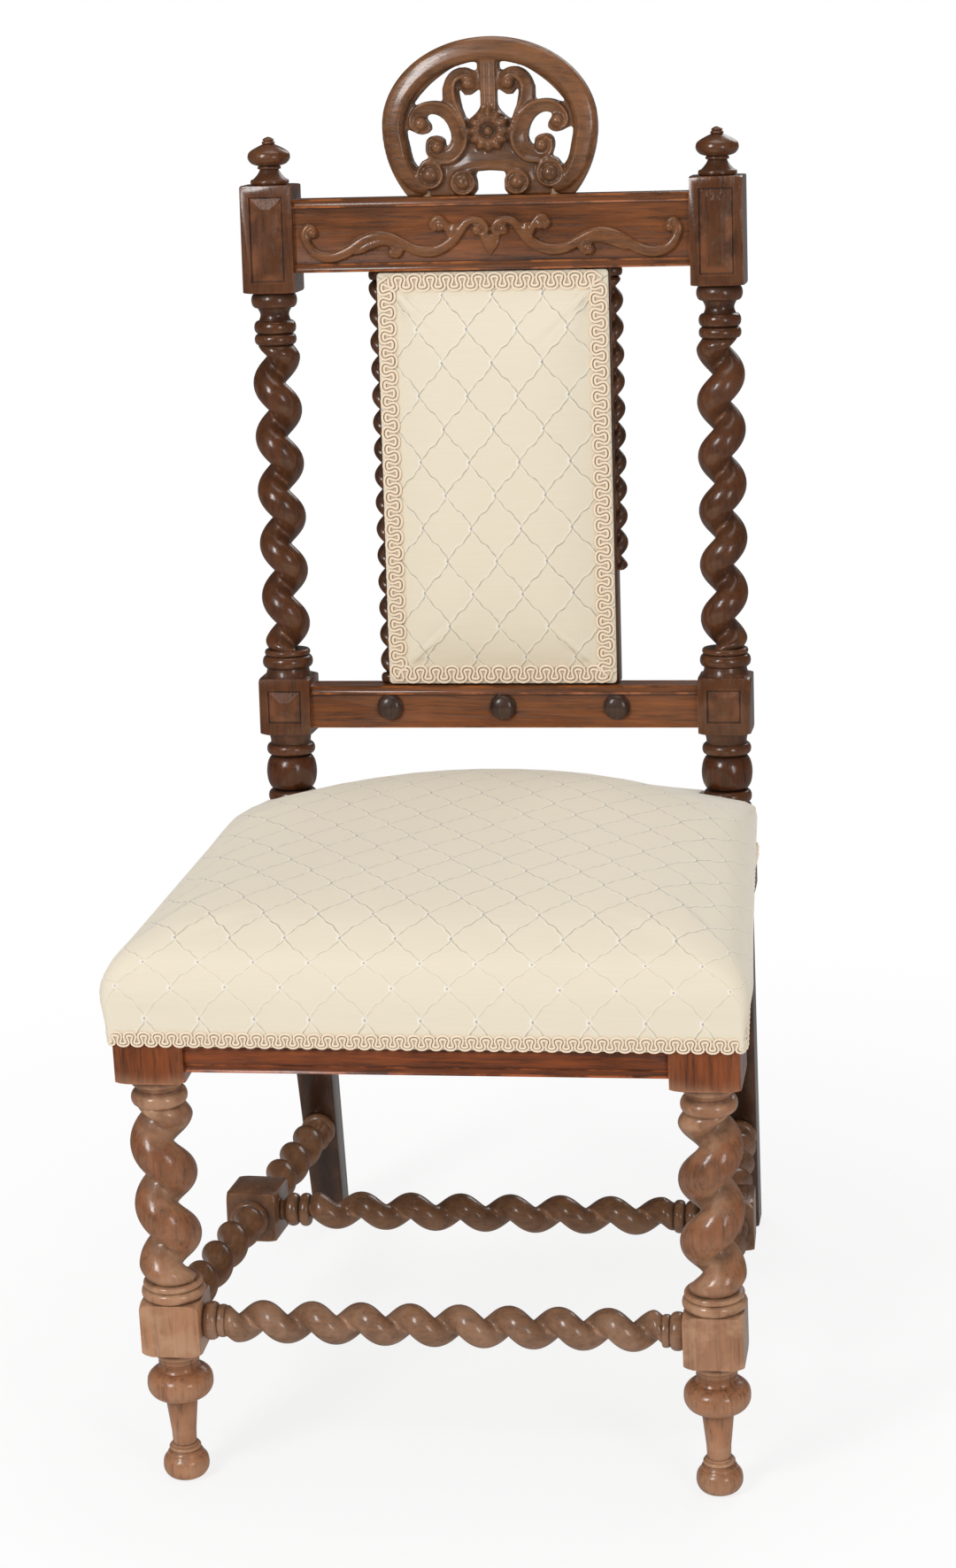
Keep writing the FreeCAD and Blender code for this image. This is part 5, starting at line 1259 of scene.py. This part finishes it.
def braid(name, points, up_of, out_of, closed, scale=1.0):
    """A scroll braid along the middle of its path. up_of gives the direction of its width and
    out_of the way it stands off the cover, from the direction of the path."""
    length, find = along_path(points, closed)
    turns = max(1, round(length / (BRAID.pitch * scale)))
    sway, half, gap, cord = (v * scale for v in (BRAID.swing, BRAID.half, BRAID.gap, BRAID.cord))
    pitch = length / turns
    parts = []
    steps = turns * BRAID.per_turn
    for number, offset in enumerate((-gap, gap)):
        line = []
        outs = []
        for i in range(steps if closed else steps + 1):
            angle = ROUND * i / BRAID.per_turn
            ahead = pitch / ROUND + 2 * sway * math.cos(2 * angle)
            slope = Vector((ahead, -half * math.sin(angle), 0)).normalized()
            run = length * i / steps + sway * math.sin(2 * angle) - slope.y * offset
            height = half * math.cos(angle) + slope.x * offset
            place, direction = find(run)
            out = out_of(direction)
            lift = 1.3 * scale + 0.3 * math.cos(angle + number * math.pi)
            line.append(place + up_of(direction) * height + out * lift)
            outs.append(out)
        parts.append(swept("%s_cord_%d" % (name, number), line, cord, BRAID.sides, closed, 0.9, outs))
    line = []
    outs = []
    count = max(8, round(length / 6.0))
    for i in range(count if closed else count + 1):
        place, direction = find(length * i / count)
        outs.append(out_of(direction))
        line.append(place + outs[-1] * 0.2)
    parts.append(swept(name + "_tape", line, half * 0.9, 4, closed, 0.12, outs))
    return joined(name, parts)


def back_braid():
    y = PAD.back - PAD.border - 0.2
    path = [(x, y, z) for x, z in pad_plan(size.gimp_width / 2, 2.5, 4, 4)]
    out = Vector((0, -1, 0))
    band = braid("back_braid", path, lambda way: way.cross(out), lambda way: out, True)
    settle(band, in_back())
    smooth(band, 70.0)
    stands_for(band, "back_gimp", finish.braid)


SEAT_BRAID = 0.80


def seat_braid():
    """The braid along the sides and front, from one post to the other, and along the back."""
    up = Vector((0, 0, 1))
    gap = 1.2
    height = SEAT.low + size.gimp_width * SEAT_BRAID / 2
    plan = [(x + math.copysign(SEAT.skirt, x), y + math.copysign(SEAT.skirt, y)) for x, y in SEAT_CORNERS]
    limit = HIP_Y - size.post_block / 2 - gap
    round_front = [(x, y) for x, y in rounded_plan(plan, (8.0,) * 4, 6, 12) if y < limit]
    start = min(range(len(round_front)), key=lambda i: (round_front[i][0] > 0, -round_front[i][1]))
    path = [(x, y, height) for x, y in round_front[start:] + round_front[:start]]
    path = [(path[0][0], limit, height)] + path + [(path[-1][0], limit, height)]
    out_way = 1.0 if path[0][0] < 0 else -1.0
    front = braid(
        "seat_braid_front", path, lambda way: up, lambda way: way.cross(up) * out_way, False, SEAT_BRAID
    )
    inner = POST_X - size.post_block / 2 - gap
    y = SEAT.back + SEAT.skirt
    rear = [(inner, y, height), (-inner, y, height)]
    back = braid("seat_braid_back", rear, lambda way: up, lambda way: Vector((0, 1, 0)), False, SEAT_BRAID)
    band = joined("seat_braid", [front, back])
    smooth(band, 70.0)
    stands_for(band, "seat_gimp", finish.braid)


def cloth_sheet(node, material):
    dressed(node, material, 0.3, 1)


# Finishes

class Recipe:
    """A finish as a node tree, with short calls to add nodes and to join them."""

    def __init__(self, name, **sockets):
        self.material = bpy.data.materials.new(name)
        self.material.use_nodes = True
        self.tree = self.material.node_tree
        self.shader = self.tree.nodes["Principled BSDF"]
        for key, value in sockets.items():
            self.shader.inputs[key.replace("_", " ")].default_value = value

    def add(self, kind, inputs=None, **values):
        node = self.tree.nodes.new("ShaderNode" + kind)
        for key, value in values.items():
            setattr(node, key, value)
        for key, value in (inputs or {}).items():
            if isinstance(value, bpy.types.NodeSocket):
                self.tree.links.new(value, node.inputs[key])
            else:
                node.inputs[key].default_value = value
        return node

    def to(self, socket, key):
        self.tree.links.new(socket, self.shader.inputs[key])

    def place(self):
        return self.add("TexCoord").outputs["Object"]

    def split(self, vector):
        return self.add("SeparateXYZ", {"Vector": vector}).outputs

    def maths(self, operation, a, b=0.0, clamp=False):
        node = self.add("Math", {0: a, 1: b}, operation=operation)
        node.use_clamp = clamp
        return node.outputs[0]

    def plus(self, a, b, clamp=False):
        return self.maths("ADD", a, b, clamp)

    def minus(self, a, b):
        return self.maths("SUBTRACT", a, b)

    def times(self, a, b, clamp=False):
        return self.maths("MULTIPLY", a, b, clamp)

    def wave(self, value, turns):
        return self.maths("SINE", self.times(value, ROUND * turns))

    def near_whole(self, value, shift=0.5):
        """How far a value lies from the nearest whole number, with its sign."""
        return self.minus(self.maths("FRACT", self.plus(value, shift)), 0.5)

    def noise(self, vector, scale, detail, roughness, distortion=0.0):
        look = {"Scale": scale, "Detail": detail, "Roughness": roughness, "Distortion": distortion}
        return self.add("TexNoise", {"Vector": vector, **look}).outputs["Fac"]

    def ramp(self, factor, *stops):
        node = self.add("ValToRGB", {"Fac": factor})
        while len(node.color_ramp.elements) < len(stops):
            node.color_ramp.elements.new(0.5)
        for element, (place, colour) in zip(node.color_ramp.elements, stops):
            element.position = place
            element.color = (*colour, 1.0)
        return node.outputs["Color"]

    def rising(self, factor, low, high):
        return self.ramp(factor, (low, (0, 0, 0)), (high, (1, 1, 1)))

    def falling(self, factor, low, high):
        return self.ramp(factor, (low, (1, 1, 1)), (high, (0, 0, 0)))

    def between(self, value, low, high, at_low, at_high):
        ends = {"Value": value, "From Min": low, "From Max": high, "To Min": at_low, "To Max": at_high}
        return self.add("MapRange", ends).outputs[0]

    def openness(self, reach, inside=False):
        """How open the surface is within reach, or how thick the piece when looked at from inside."""
        node = self.add("AmbientOcclusion", {"Distance": reach}, inside=inside, only_local=True, samples=8)
        return node.outputs["AO"]

    def mix(self, factor, a, b):
        node = self.tree.nodes.new("ShaderNodeMix")
        node.data_type = "RGBA"
        for key, value in ((0, factor), (6, a), (7, b)):
            if isinstance(value, bpy.types.NodeSocket):
                self.tree.links.new(value, node.inputs[key])
            elif key:
                node.inputs[key].default_value = (*value, 1.0)
            else:
                node.inputs[key].default_value = value
        return node.outputs[2]

    def finished(self, colour, height, strength, distance):
        """Join the colour and a bump of a height, and hand the material over."""
        self.to(colour, "Base Color")
        bump = self.add("Bump", {"Height": height, "Strength": strength, "Distance": distance})
        self.to(bump.outputs["Normal"], "Normal")
        return self.material


def scaled(colour, share, lift=0.0):
    return tuple(min(1.0, c * share + lift) for c in colour)


GRAIN_STRETCH = {"x": (0.06, 1.0, 1.0), "y": (1.0, 0.06, 1.0), "z": (1.0, 1.0, 0.06)}


def walnut(name, grain, tone, roughness, low_tone=None, crest_wear_and_highlight=None):
    """Waxed walnut round one tone: long fibres and pores, a cloudy figure, darkening in the
    hollows that is partly dirt and partly painted shade, and edges rubbed paler. The argument
    after roughness is (colour, low, high): a second tone that comes in below the height high.
    The last is (share, colour) of the swelling turns, which are made paler partly as wear and
    partly as a painted highlight, and may end with the height above which none are."""
    dark = scaled(tone, 0.34)
    light = scaled(tone, 1.70)
    recipe = Recipe(name, Coat_Weight=0.55, Coat_Roughness=0.13, Specular_IOR_Level=0.42)
    place = recipe.place()
    height = recipe.split(place)["Z"]
    along = recipe.add("Mapping", {"Vector": place, "Scale": GRAIN_STRETCH[grain]}).outputs[0]
    figure = recipe.noise(along, 70.0, 6.0, 0.68, 1.1)
    fibre = recipe.noise(along, 320.0, 5.0, 0.72, 0.4)
    cloud = recipe.noise(place, 13.0, 3.0, 0.5)
    tones = recipe.plus(recipe.times(figure, 0.36), recipe.times(fibre, 0.50))
    tones = recipe.plus(tones, recipe.times(cloud, 0.30))
    colour = recipe.ramp(tones, (0.44, dark), (0.57, tone), (0.72, light))
    # Below a given height a second tone comes in, with its own grain.
    if low_tone:
        paler, low, high = low_tone
        share = recipe.between(height, low, high, 1.0, 0.0)
        low_share = recipe.times(share, recipe.plus(recipe.times(cloud, 0.9), 0.40), True)
        low_grain = recipe.ramp(tones, (0.42, scaled(paler, 0.45)), (0.58, paler), (0.75, scaled(paler, 1.35)))
        colour = recipe.mix(low_share, colour, low_grain)
    pores = recipe.rising(fibre, 0.34, 0.47)
    colour = recipe.mix(recipe.times(recipe.minus(1.0, pores), 0.6), colour, dark)
    # Darker in the hollows: partly wax and dirt, partly painted shade. The same mask also makes the hollows
    # rougher.
    dirt_and_shade = recipe.falling(recipe.openness(0.017), 0.46, 0.97)
    colour = recipe.mix(recipe.times(dirt_and_shade, 0.90), colour, scaled(dark, 0.45))
    patch = recipe.rising(recipe.noise(place, 46.0, 3.0, 0.6), 0.44, 0.60)
    rubbed = recipe.times(recipe.falling(recipe.openness(0.0022, True), 0.50, 0.90), patch)
    colour = recipe.mix(recipe.times(rubbed, 0.70), colour, scaled(light, 1.8, 0.008))
    # Paler swelling turns: partly wear, partly a painted highlight on the bulges.
    if crest_wear_and_highlight:
        share, wear_and_highlight_tone, *ceiling = crest_wear_and_highlight
        swell = recipe.falling(recipe.openness(0.016, True), 0.60, 0.90)
        swell = recipe.times(swell, recipe.plus(recipe.times(patch, 0.5), 0.5))
        for top in ceiling:
            swell = recipe.times(swell, recipe.between(height, top - 0.02, top, 1.0, 0.1))
        colour = recipe.mix(recipe.times(swell, share), colour, wear_and_highlight_tone)
    shine = recipe.plus(recipe.times(recipe.minus(cloud, 0.5), 0.34), roughness)
    recipe.to(recipe.plus(shine, recipe.times(dirt_and_shade, 0.30), True), "Roughness")
    surface = recipe.plus(recipe.times(pores, 0.5), recipe.times(figure, 1.1))
    return recipe.finished(colour, recipe.plus(surface, recipe.times(patch, 0.25)), 0.34, 0.0007)


def figured_cloth(name, base, shade):
    """Cream figured cloth: a ribbed ground with a trellis of thin wavy lines and a small
    star where they cross. It follows the flat cloth's own map. The lines are fainter where
    the seat's front rolls over."""
    recipe = Recipe(name, Roughness=0.82, Sheen_Weight=0.35, Sheen_Roughness=0.4)
    place = recipe.add("UVMap", uv_map="cloth").outputs["UV"]
    flat = recipe.split(place)
    wide, tall = (length * MM for length in size.weave_repeat)
    across = recipe.maths("DIVIDE", flat["X"], wide)
    along = recipe.maths("DIVIDE", flat["Y"], tall)
    rise = recipe.plus(across, along)
    fall = recipe.minus(across, along)
    lines = []
    shadows = []
    for main, other in ((rise, fall), (fall, rise)):
        bent = recipe.plus(main, recipe.times(recipe.wave(other, 1), 0.035))
        bent = recipe.plus(bent, recipe.times(recipe.wave(other, 3), 0.013))
        lines.append(recipe.falling(recipe.maths("ABSOLUTE", recipe.near_whole(bent)), 0.010, 0.034))
        beside = recipe.maths("ABSOLUTE", recipe.near_whole(bent, 0.472))
        shadows.append(recipe.falling(beside, 0.004, 0.026))
    white = (1, 1, 1)
    pale = (0.38, 0.38, 0.38)
    level_up = recipe.times(recipe.split(recipe.place())["Z"], 2.0)
    faint = recipe.ramp(level_up, (0.744, white), (0.776, pale), (0.850, pale), (0.886, white))
    line = recipe.times(recipe.maths("MAXIMUM", *lines), faint)
    shadow = recipe.times(recipe.maths("MAXIMUM", *shadows), faint)
    reach = []
    for value in (rise, fall):
        near = recipe.near_whole(value)
        reach.append(recipe.times(near, near))
    node_gap = recipe.maths("SQRT", recipe.plus(*reach))
    star = recipe.falling(node_gap, 0.048, 0.105)
    dot = recipe.falling(node_gap, 0.018, 0.036)
    ribs = recipe.times(recipe.wave(flat["Y"], 1 / 0.0011), 0.5)
    weave = recipe.plus(ribs, recipe.times(recipe.wave(flat["X"], 1 / 0.0008), 0.25))
    slub_map = recipe.add("Mapping", {"Vector": place, "Scale": (0.05, 1.0, 1.0)}).outputs[0]
    slub = recipe.noise(slub_map, 520.0, 3.0, 0.6)
    cloud = recipe.noise(place, 9.0, 3.0, 0.5)
    broken = recipe.ramp(recipe.noise(place, 190.0, 2.0, 0.5), (0.36, (0.35, 0.35, 0.35)), (0.58, white))
    colour = recipe.mix(recipe.times(slub, 0.55), base, shade)
    for share, strength, tone in (
        (cloud, 0.22, shade),
        (line, 0.50, (0.90, 0.835, 0.705)),
        (star, 0.55, (0.93, 0.87, 0.79)),
        (recipe.times(shadow, broken), 0.85, (0.40, 0.345, 0.24)),
        (dot, 0.75, (0.27, 0.26, 0.25)),
    ):
        colour = recipe.mix(recipe.times(share, strength), colour, tone)
    height = recipe.plus(recipe.times(weave, 0.10), recipe.times(slub, 0.25))
    height = recipe.minus(recipe.plus(height, line), recipe.times(shadow, 0.9))
    return recipe.finished(colour, height, 0.42, 0.0006)


def braid_thread(name, base, shade):
    recipe = Recipe(name, Roughness=0.72, Sheen_Weight=0.2, Sheen_Roughness=0.4)
    place = recipe.place()
    thread = recipe.noise(place, 900.0, 2.0, 0.6)
    cloud = recipe.noise(place, 30.0, 2.0, 0.5)
    # Painted shade: the braid is darkened where its cords crowd together and lie under one another.
    deep = recipe.falling(recipe.openness(0.003), 0.25, 0.86)
    colour = recipe.mix(recipe.times(thread, 0.5), base, shade)
    colour = recipe.mix(recipe.times(cloud, 0.2), colour, shade)
    colour = recipe.mix(recipe.times(deep, 0.62), colour, scaled(shade, 0.40))
    return recipe.finished(colour, thread, 0.4, 0.0005)


def coarse_cloth(name, base, shade, pitch):
    """Plain woven cloth: threads over and under each other, seen on the piece's X and Y."""
    recipe = Recipe(name, Roughness=0.9)
    place = recipe.place()
    axes = recipe.split(place)
    over = recipe.times(recipe.wave(axes["X"], 1 / pitch), recipe.wave(axes["Y"], 1 / pitch))
    fluff = recipe.noise(place, 700.0, 3.0, 0.6)
    factor = recipe.plus(recipe.times(over, 0.35), recipe.times(fluff, 0.7), True)
    return recipe.finished(recipe.mix(factor, shade, base), recipe.plus(over, fluff), 0.6, 0.0006)


def plain_wood(name, grain, dark, light):
    recipe = Recipe(name, Roughness=0.62)
    along = recipe.add("Mapping", {"Vector": recipe.place(), "Scale": GRAIN_STRETCH[grain]}).outputs[0]
    figure = recipe.noise(along, 40.0, 5.0, 0.6, 0.8)
    fleck = recipe.noise(along, 500.0, 3.0, 0.6)
    tone = recipe.plus(recipe.times(figure, 0.7), recipe.times(fleck, 0.3))
    return recipe.finished(recipe.ramp(tone, (0.35, dark), (0.70, light)), fleck, 0.2, 0.0004)


CREAM = (0.790, 0.712, 0.568)
OATMEAL = (0.690, 0.605, 0.465)

# Walnut finishes: name, grain, tone, roughness, the tone below a height, the paler swelling turns (wear and
# painted highlight)
WALNUTS = {
    "crest": ("walnut_crest", "x", (0.140, 0.054, 0.018), 0.32, None, (0.40, (0.300, 0.135, 0.060))),
    "rail": ("walnut_rail", "x", (0.165, 0.048, 0.009), 0.36),
    "rail_carving": (
        "walnut_rail_carving", "x", (0.135, 0.045, 0.012), 0.32, None, (0.40, (0.290, 0.120, 0.045)),
    ),
    "post": (
        "walnut_post", "z", (0.070, 0.018, 0.003), 0.26,
        ((0.020, 0.010, 0.006), 0.31, 0.34), (0.40, (0.190, 0.080, 0.034)),
    ),
    "leg": (
        "walnut_front_leg", "z", (0.155, 0.036, 0.006), 0.28,
        ((0.315, 0.126, 0.052), 0.14, 0.335), (0.80, (0.500, 0.285, 0.165), 0.342),
    ),
    "stretcher_front": (
        "walnut_front_stretcher", "x", (0.165, 0.070, 0.030), 0.28, None, (0.60, (0.400, 0.230, 0.140)),
    ),
    "stretcher_x": (
        "walnut_cross_stretcher", "x", (0.122, 0.048, 0.018), 0.28, None, (0.45, (0.300, 0.160, 0.085)),
    ),
    "stretcher_y": (
        "walnut_side_stretcher", "y", (0.106, 0.038, 0.013), 0.28, None, (0.45, (0.280, 0.140, 0.070)),
    ),
    "strip": ("walnut_strip", "z", (0.080, 0.029, 0.010), 0.32),
    "button": ("walnut_button", "z", (0.042, 0.018, 0.010), 0.40),
    "seat_rail": ("walnut_seat_rail", "x", (0.175, 0.040, 0.007), 0.34),
    "side_rail": ("walnut_side_rail", "y", (0.148, 0.042, 0.010), 0.34),
}
finish = SimpleNamespace(
    seat_fabric=figured_cloth("cream_trellis_cloth", CREAM, OATMEAL),
    back_fabric=figured_cloth("cream_trellis_cloth_back", CREAM, OATMEAL),
    braid=braid_thread("braid_thread", (0.92, 0.765, 0.585), (0.80, 0.63, 0.455)),
    webbing=coarse_cloth("jute_webbing", (0.40, 0.27, 0.14), (0.20, 0.12, 0.06), 0.0030),
    hessian=coarse_cloth("hessian", (0.48, 0.34, 0.19), (0.26, 0.17, 0.09), 0.0022),
    cover=coarse_cloth("back_lining", (0.72, 0.64, 0.50), (0.58, 0.50, 0.37), 0.0016),
    beech=plain_wood("beech", "x", (0.36, 0.22, 0.12), (0.52, 0.35, 0.20)),
    beech_up=plain_wood("beech_upright", "z", (0.34, 0.20, 0.11), (0.50, 0.33, 0.19)),
    **{key: walnut(*values) for key, values in WALNUTS.items()},
)


# Stage, light and camera

ROOM = SimpleNamespace(diffuse=0.52, glossy=0.06, floor=0.92, floor_glossy=0.18)
WHITE = (1.0, 1.0, 1.0, 1.0)


def blended(tree, share, one, other):
    """A mix of two shaders of a node tree."""
    mixed = tree.nodes.new("ShaderNodeMixShader")
    for number, socket in enumerate((share, one, other)):
        tree.links.new(socket, mixed.inputs[number])
    return mixed.outputs[0]


def stage():
    """A white floor that takes a faint shadow round the feet and is plain white further out."""
    wide = 9000.0
    corners = [(-wide, -wide, 0), (wide, -wide, 0), (wide, wide, 0), (-wide, wide, 0)]
    floor = bare("floor", corners, (), [(0, 1, 2, 3)])
    recipe = Recipe("white_floor", Roughness=0.9, Base_Color=(0.93, 0.93, 0.93, 1.0), Specular_IOR_Level=0.0)
    reach = recipe.add("VectorMath", {0: recipe.place()}, operation="LENGTH").outputs["Value"]
    share = recipe.between(reach, 0.40, 1.0, 0.80, 1.0)
    path = recipe.add("LightPath").outputs
    seen = recipe.times(path["Is Camera Ray"], 1.0 - ROOM.floor)
    shone = recipe.times(path["Is Glossy Ray"], ROOM.floor_glossy - ROOM.floor)
    glow = recipe.plus(recipe.plus(seen, shone), ROOM.floor)
    white = recipe.add("Emission", {"Color": WHITE, "Strength": glow}).outputs[0]
    mixed = blended(recipe.tree, share, recipe.shader.outputs[0], white)
    recipe.tree.links.new(mixed, recipe.tree.nodes["Material Output"].inputs["Surface"])
    floor.data.materials.append(recipe.material)


def surroundings():
    """White round the camera, dim for reflections and half bright for all other light."""
    world = bpy.data.worlds.new("studio")
    bpy.context.scene.world = world
    world.use_nodes = True
    tree = world.node_tree
    path = tree.nodes.new("ShaderNodeLightPath")
    nearest = tree.nodes["Background"]
    nearest.inputs["Color"].default_value = WHITE
    nearest.inputs["Strength"].default_value = ROOM.diffuse
    seen = nearest.outputs[0]
    rays = (("Is Glossy Ray", ROOM.glossy), ("Is Transmission Ray", 1.0), ("Is Camera Ray", 1.0))
    for ray, strength in rays:
        other = tree.nodes.new("ShaderNodeBackground")
        other.inputs["Color"].default_value = WHITE
        other.inputs["Strength"].default_value = strength
        seen = blended(tree, path.outputs[ray], seen, other.outputs[0])
    tree.links.new(seen, tree.nodes["World Output"].inputs["Surface"])


def softbox(name, place, aim, width, height, power):
    lamp = bpy.data.lights.new(name, "AREA")
    lamp.shape = "RECTANGLE"
    lamp.size = width
    lamp.size_y = height
    lamp.energy = power
    thing = linked(bpy.data.objects.new(name, lamp))
    thing.location = place
    thing.rotation_mode = "QUATERNION"
    thing.rotation_quaternion = (Vector(aim) - Vector(place)).to_track_quat("-Z", "Y")


def lights():
    softbox("key_light", (-1.5, -2.4, 2.3), (0, 0, 0.5), 0.75, 1.3, 46.0)
    softbox("fill_light", (2.0, -2.4, 1.3), (0, 0, 0.5), 0.7, 1.3, 17.0)
    softbox("top_light", (0.2, 0.3, 2.9), (0, 0, 0.4), 1.6, 1.4, 12.0)
    softbox("back_light", (0.8, 2.8, 2.0), (0, 0, 0.6), 1.4, 1.4, 14.0)


VIEWPOINT = SimpleNamespace(place=(0.476, -2.8827, 1.403), left=9.25, down=17.55, roll=-2.69, lens=90.04)


def camera():
    yaw, pitch, roll = (math.radians(a) for a in (VIEWPOINT.left, VIEWPOINT.down, VIEWPOINT.roll))
    ahead = Vector((-math.sin(yaw) * math.cos(pitch), math.cos(yaw) * math.cos(pitch), -math.sin(pitch)))
    level_right = Vector((math.cos(yaw), math.sin(yaw), 0))
    level_up = level_right.cross(ahead)
    right = level_right * math.cos(roll) + level_up * math.sin(roll)
    up = level_up * math.cos(roll) - level_right * math.sin(roll)
    lens = bpy.data.cameras.new("camera")
    lens.sensor_width = 36
    lens.lens = VIEWPOINT.lens
    thing = linked(bpy.data.objects.new("camera", lens))
    turn = Matrix((right, up, -ahead)).transposed().to_4x4()
    thing.matrix_world = Matrix.Translation(VIEWPOINT.place) @ turn
    bpy.context.scene.camera = thing


for side_name, side in SIDES.items():
    front_leg(side_name, side)
    rear_post(side_name, side)
    side_stretcher(side_name, side)
    half_twist_strip(side_name, side)
    dressed("panel_stile_" + side_name, finish.strip)
    dressed("seat_rail_" + side_name, finish.side_rail)
finials()
front_stretcher()
cross_stretcher()
for node, material, *edge in (
    ("top_rail", finish.rail, 0.7),
    ("lower_back_rail", finish.rail, 0.7),
    ("seat_rail_front", finish.seat_rail, 0.6),
    ("seat_rail_back", finish.seat_rail, 0.6),
    ("panel_rail_upper", finish.beech),
    ("panel_rail_lower", finish.beech),
    ("corner_blocks_front", finish.beech),
    ("corner_blocks_back", finish.beech),
    ("stretcher_pegs", finish.stretcher_y, 0.4),
    ("crest_dowels", finish.beech_up, 0.4),
    ("back_webbing", finish.webbing, 0.2, 1),
    ("seat_webbing", finish.webbing, 0.2, 1),
):
    dressed(node, material, *edge)
crest()
top_rail_carving()
rail_buttons()
seat_cushion()
back_cushion()
back_braid()
seat_braid()
cloth_sheet("seat_hessian", finish.hessian)
cloth_sheet(
    "outside_back_cover",
    finish.cover,
)
stage()
surroundings()
lights()
camera()
bpy.context.scene.view_settings.view_transform = "Standard"
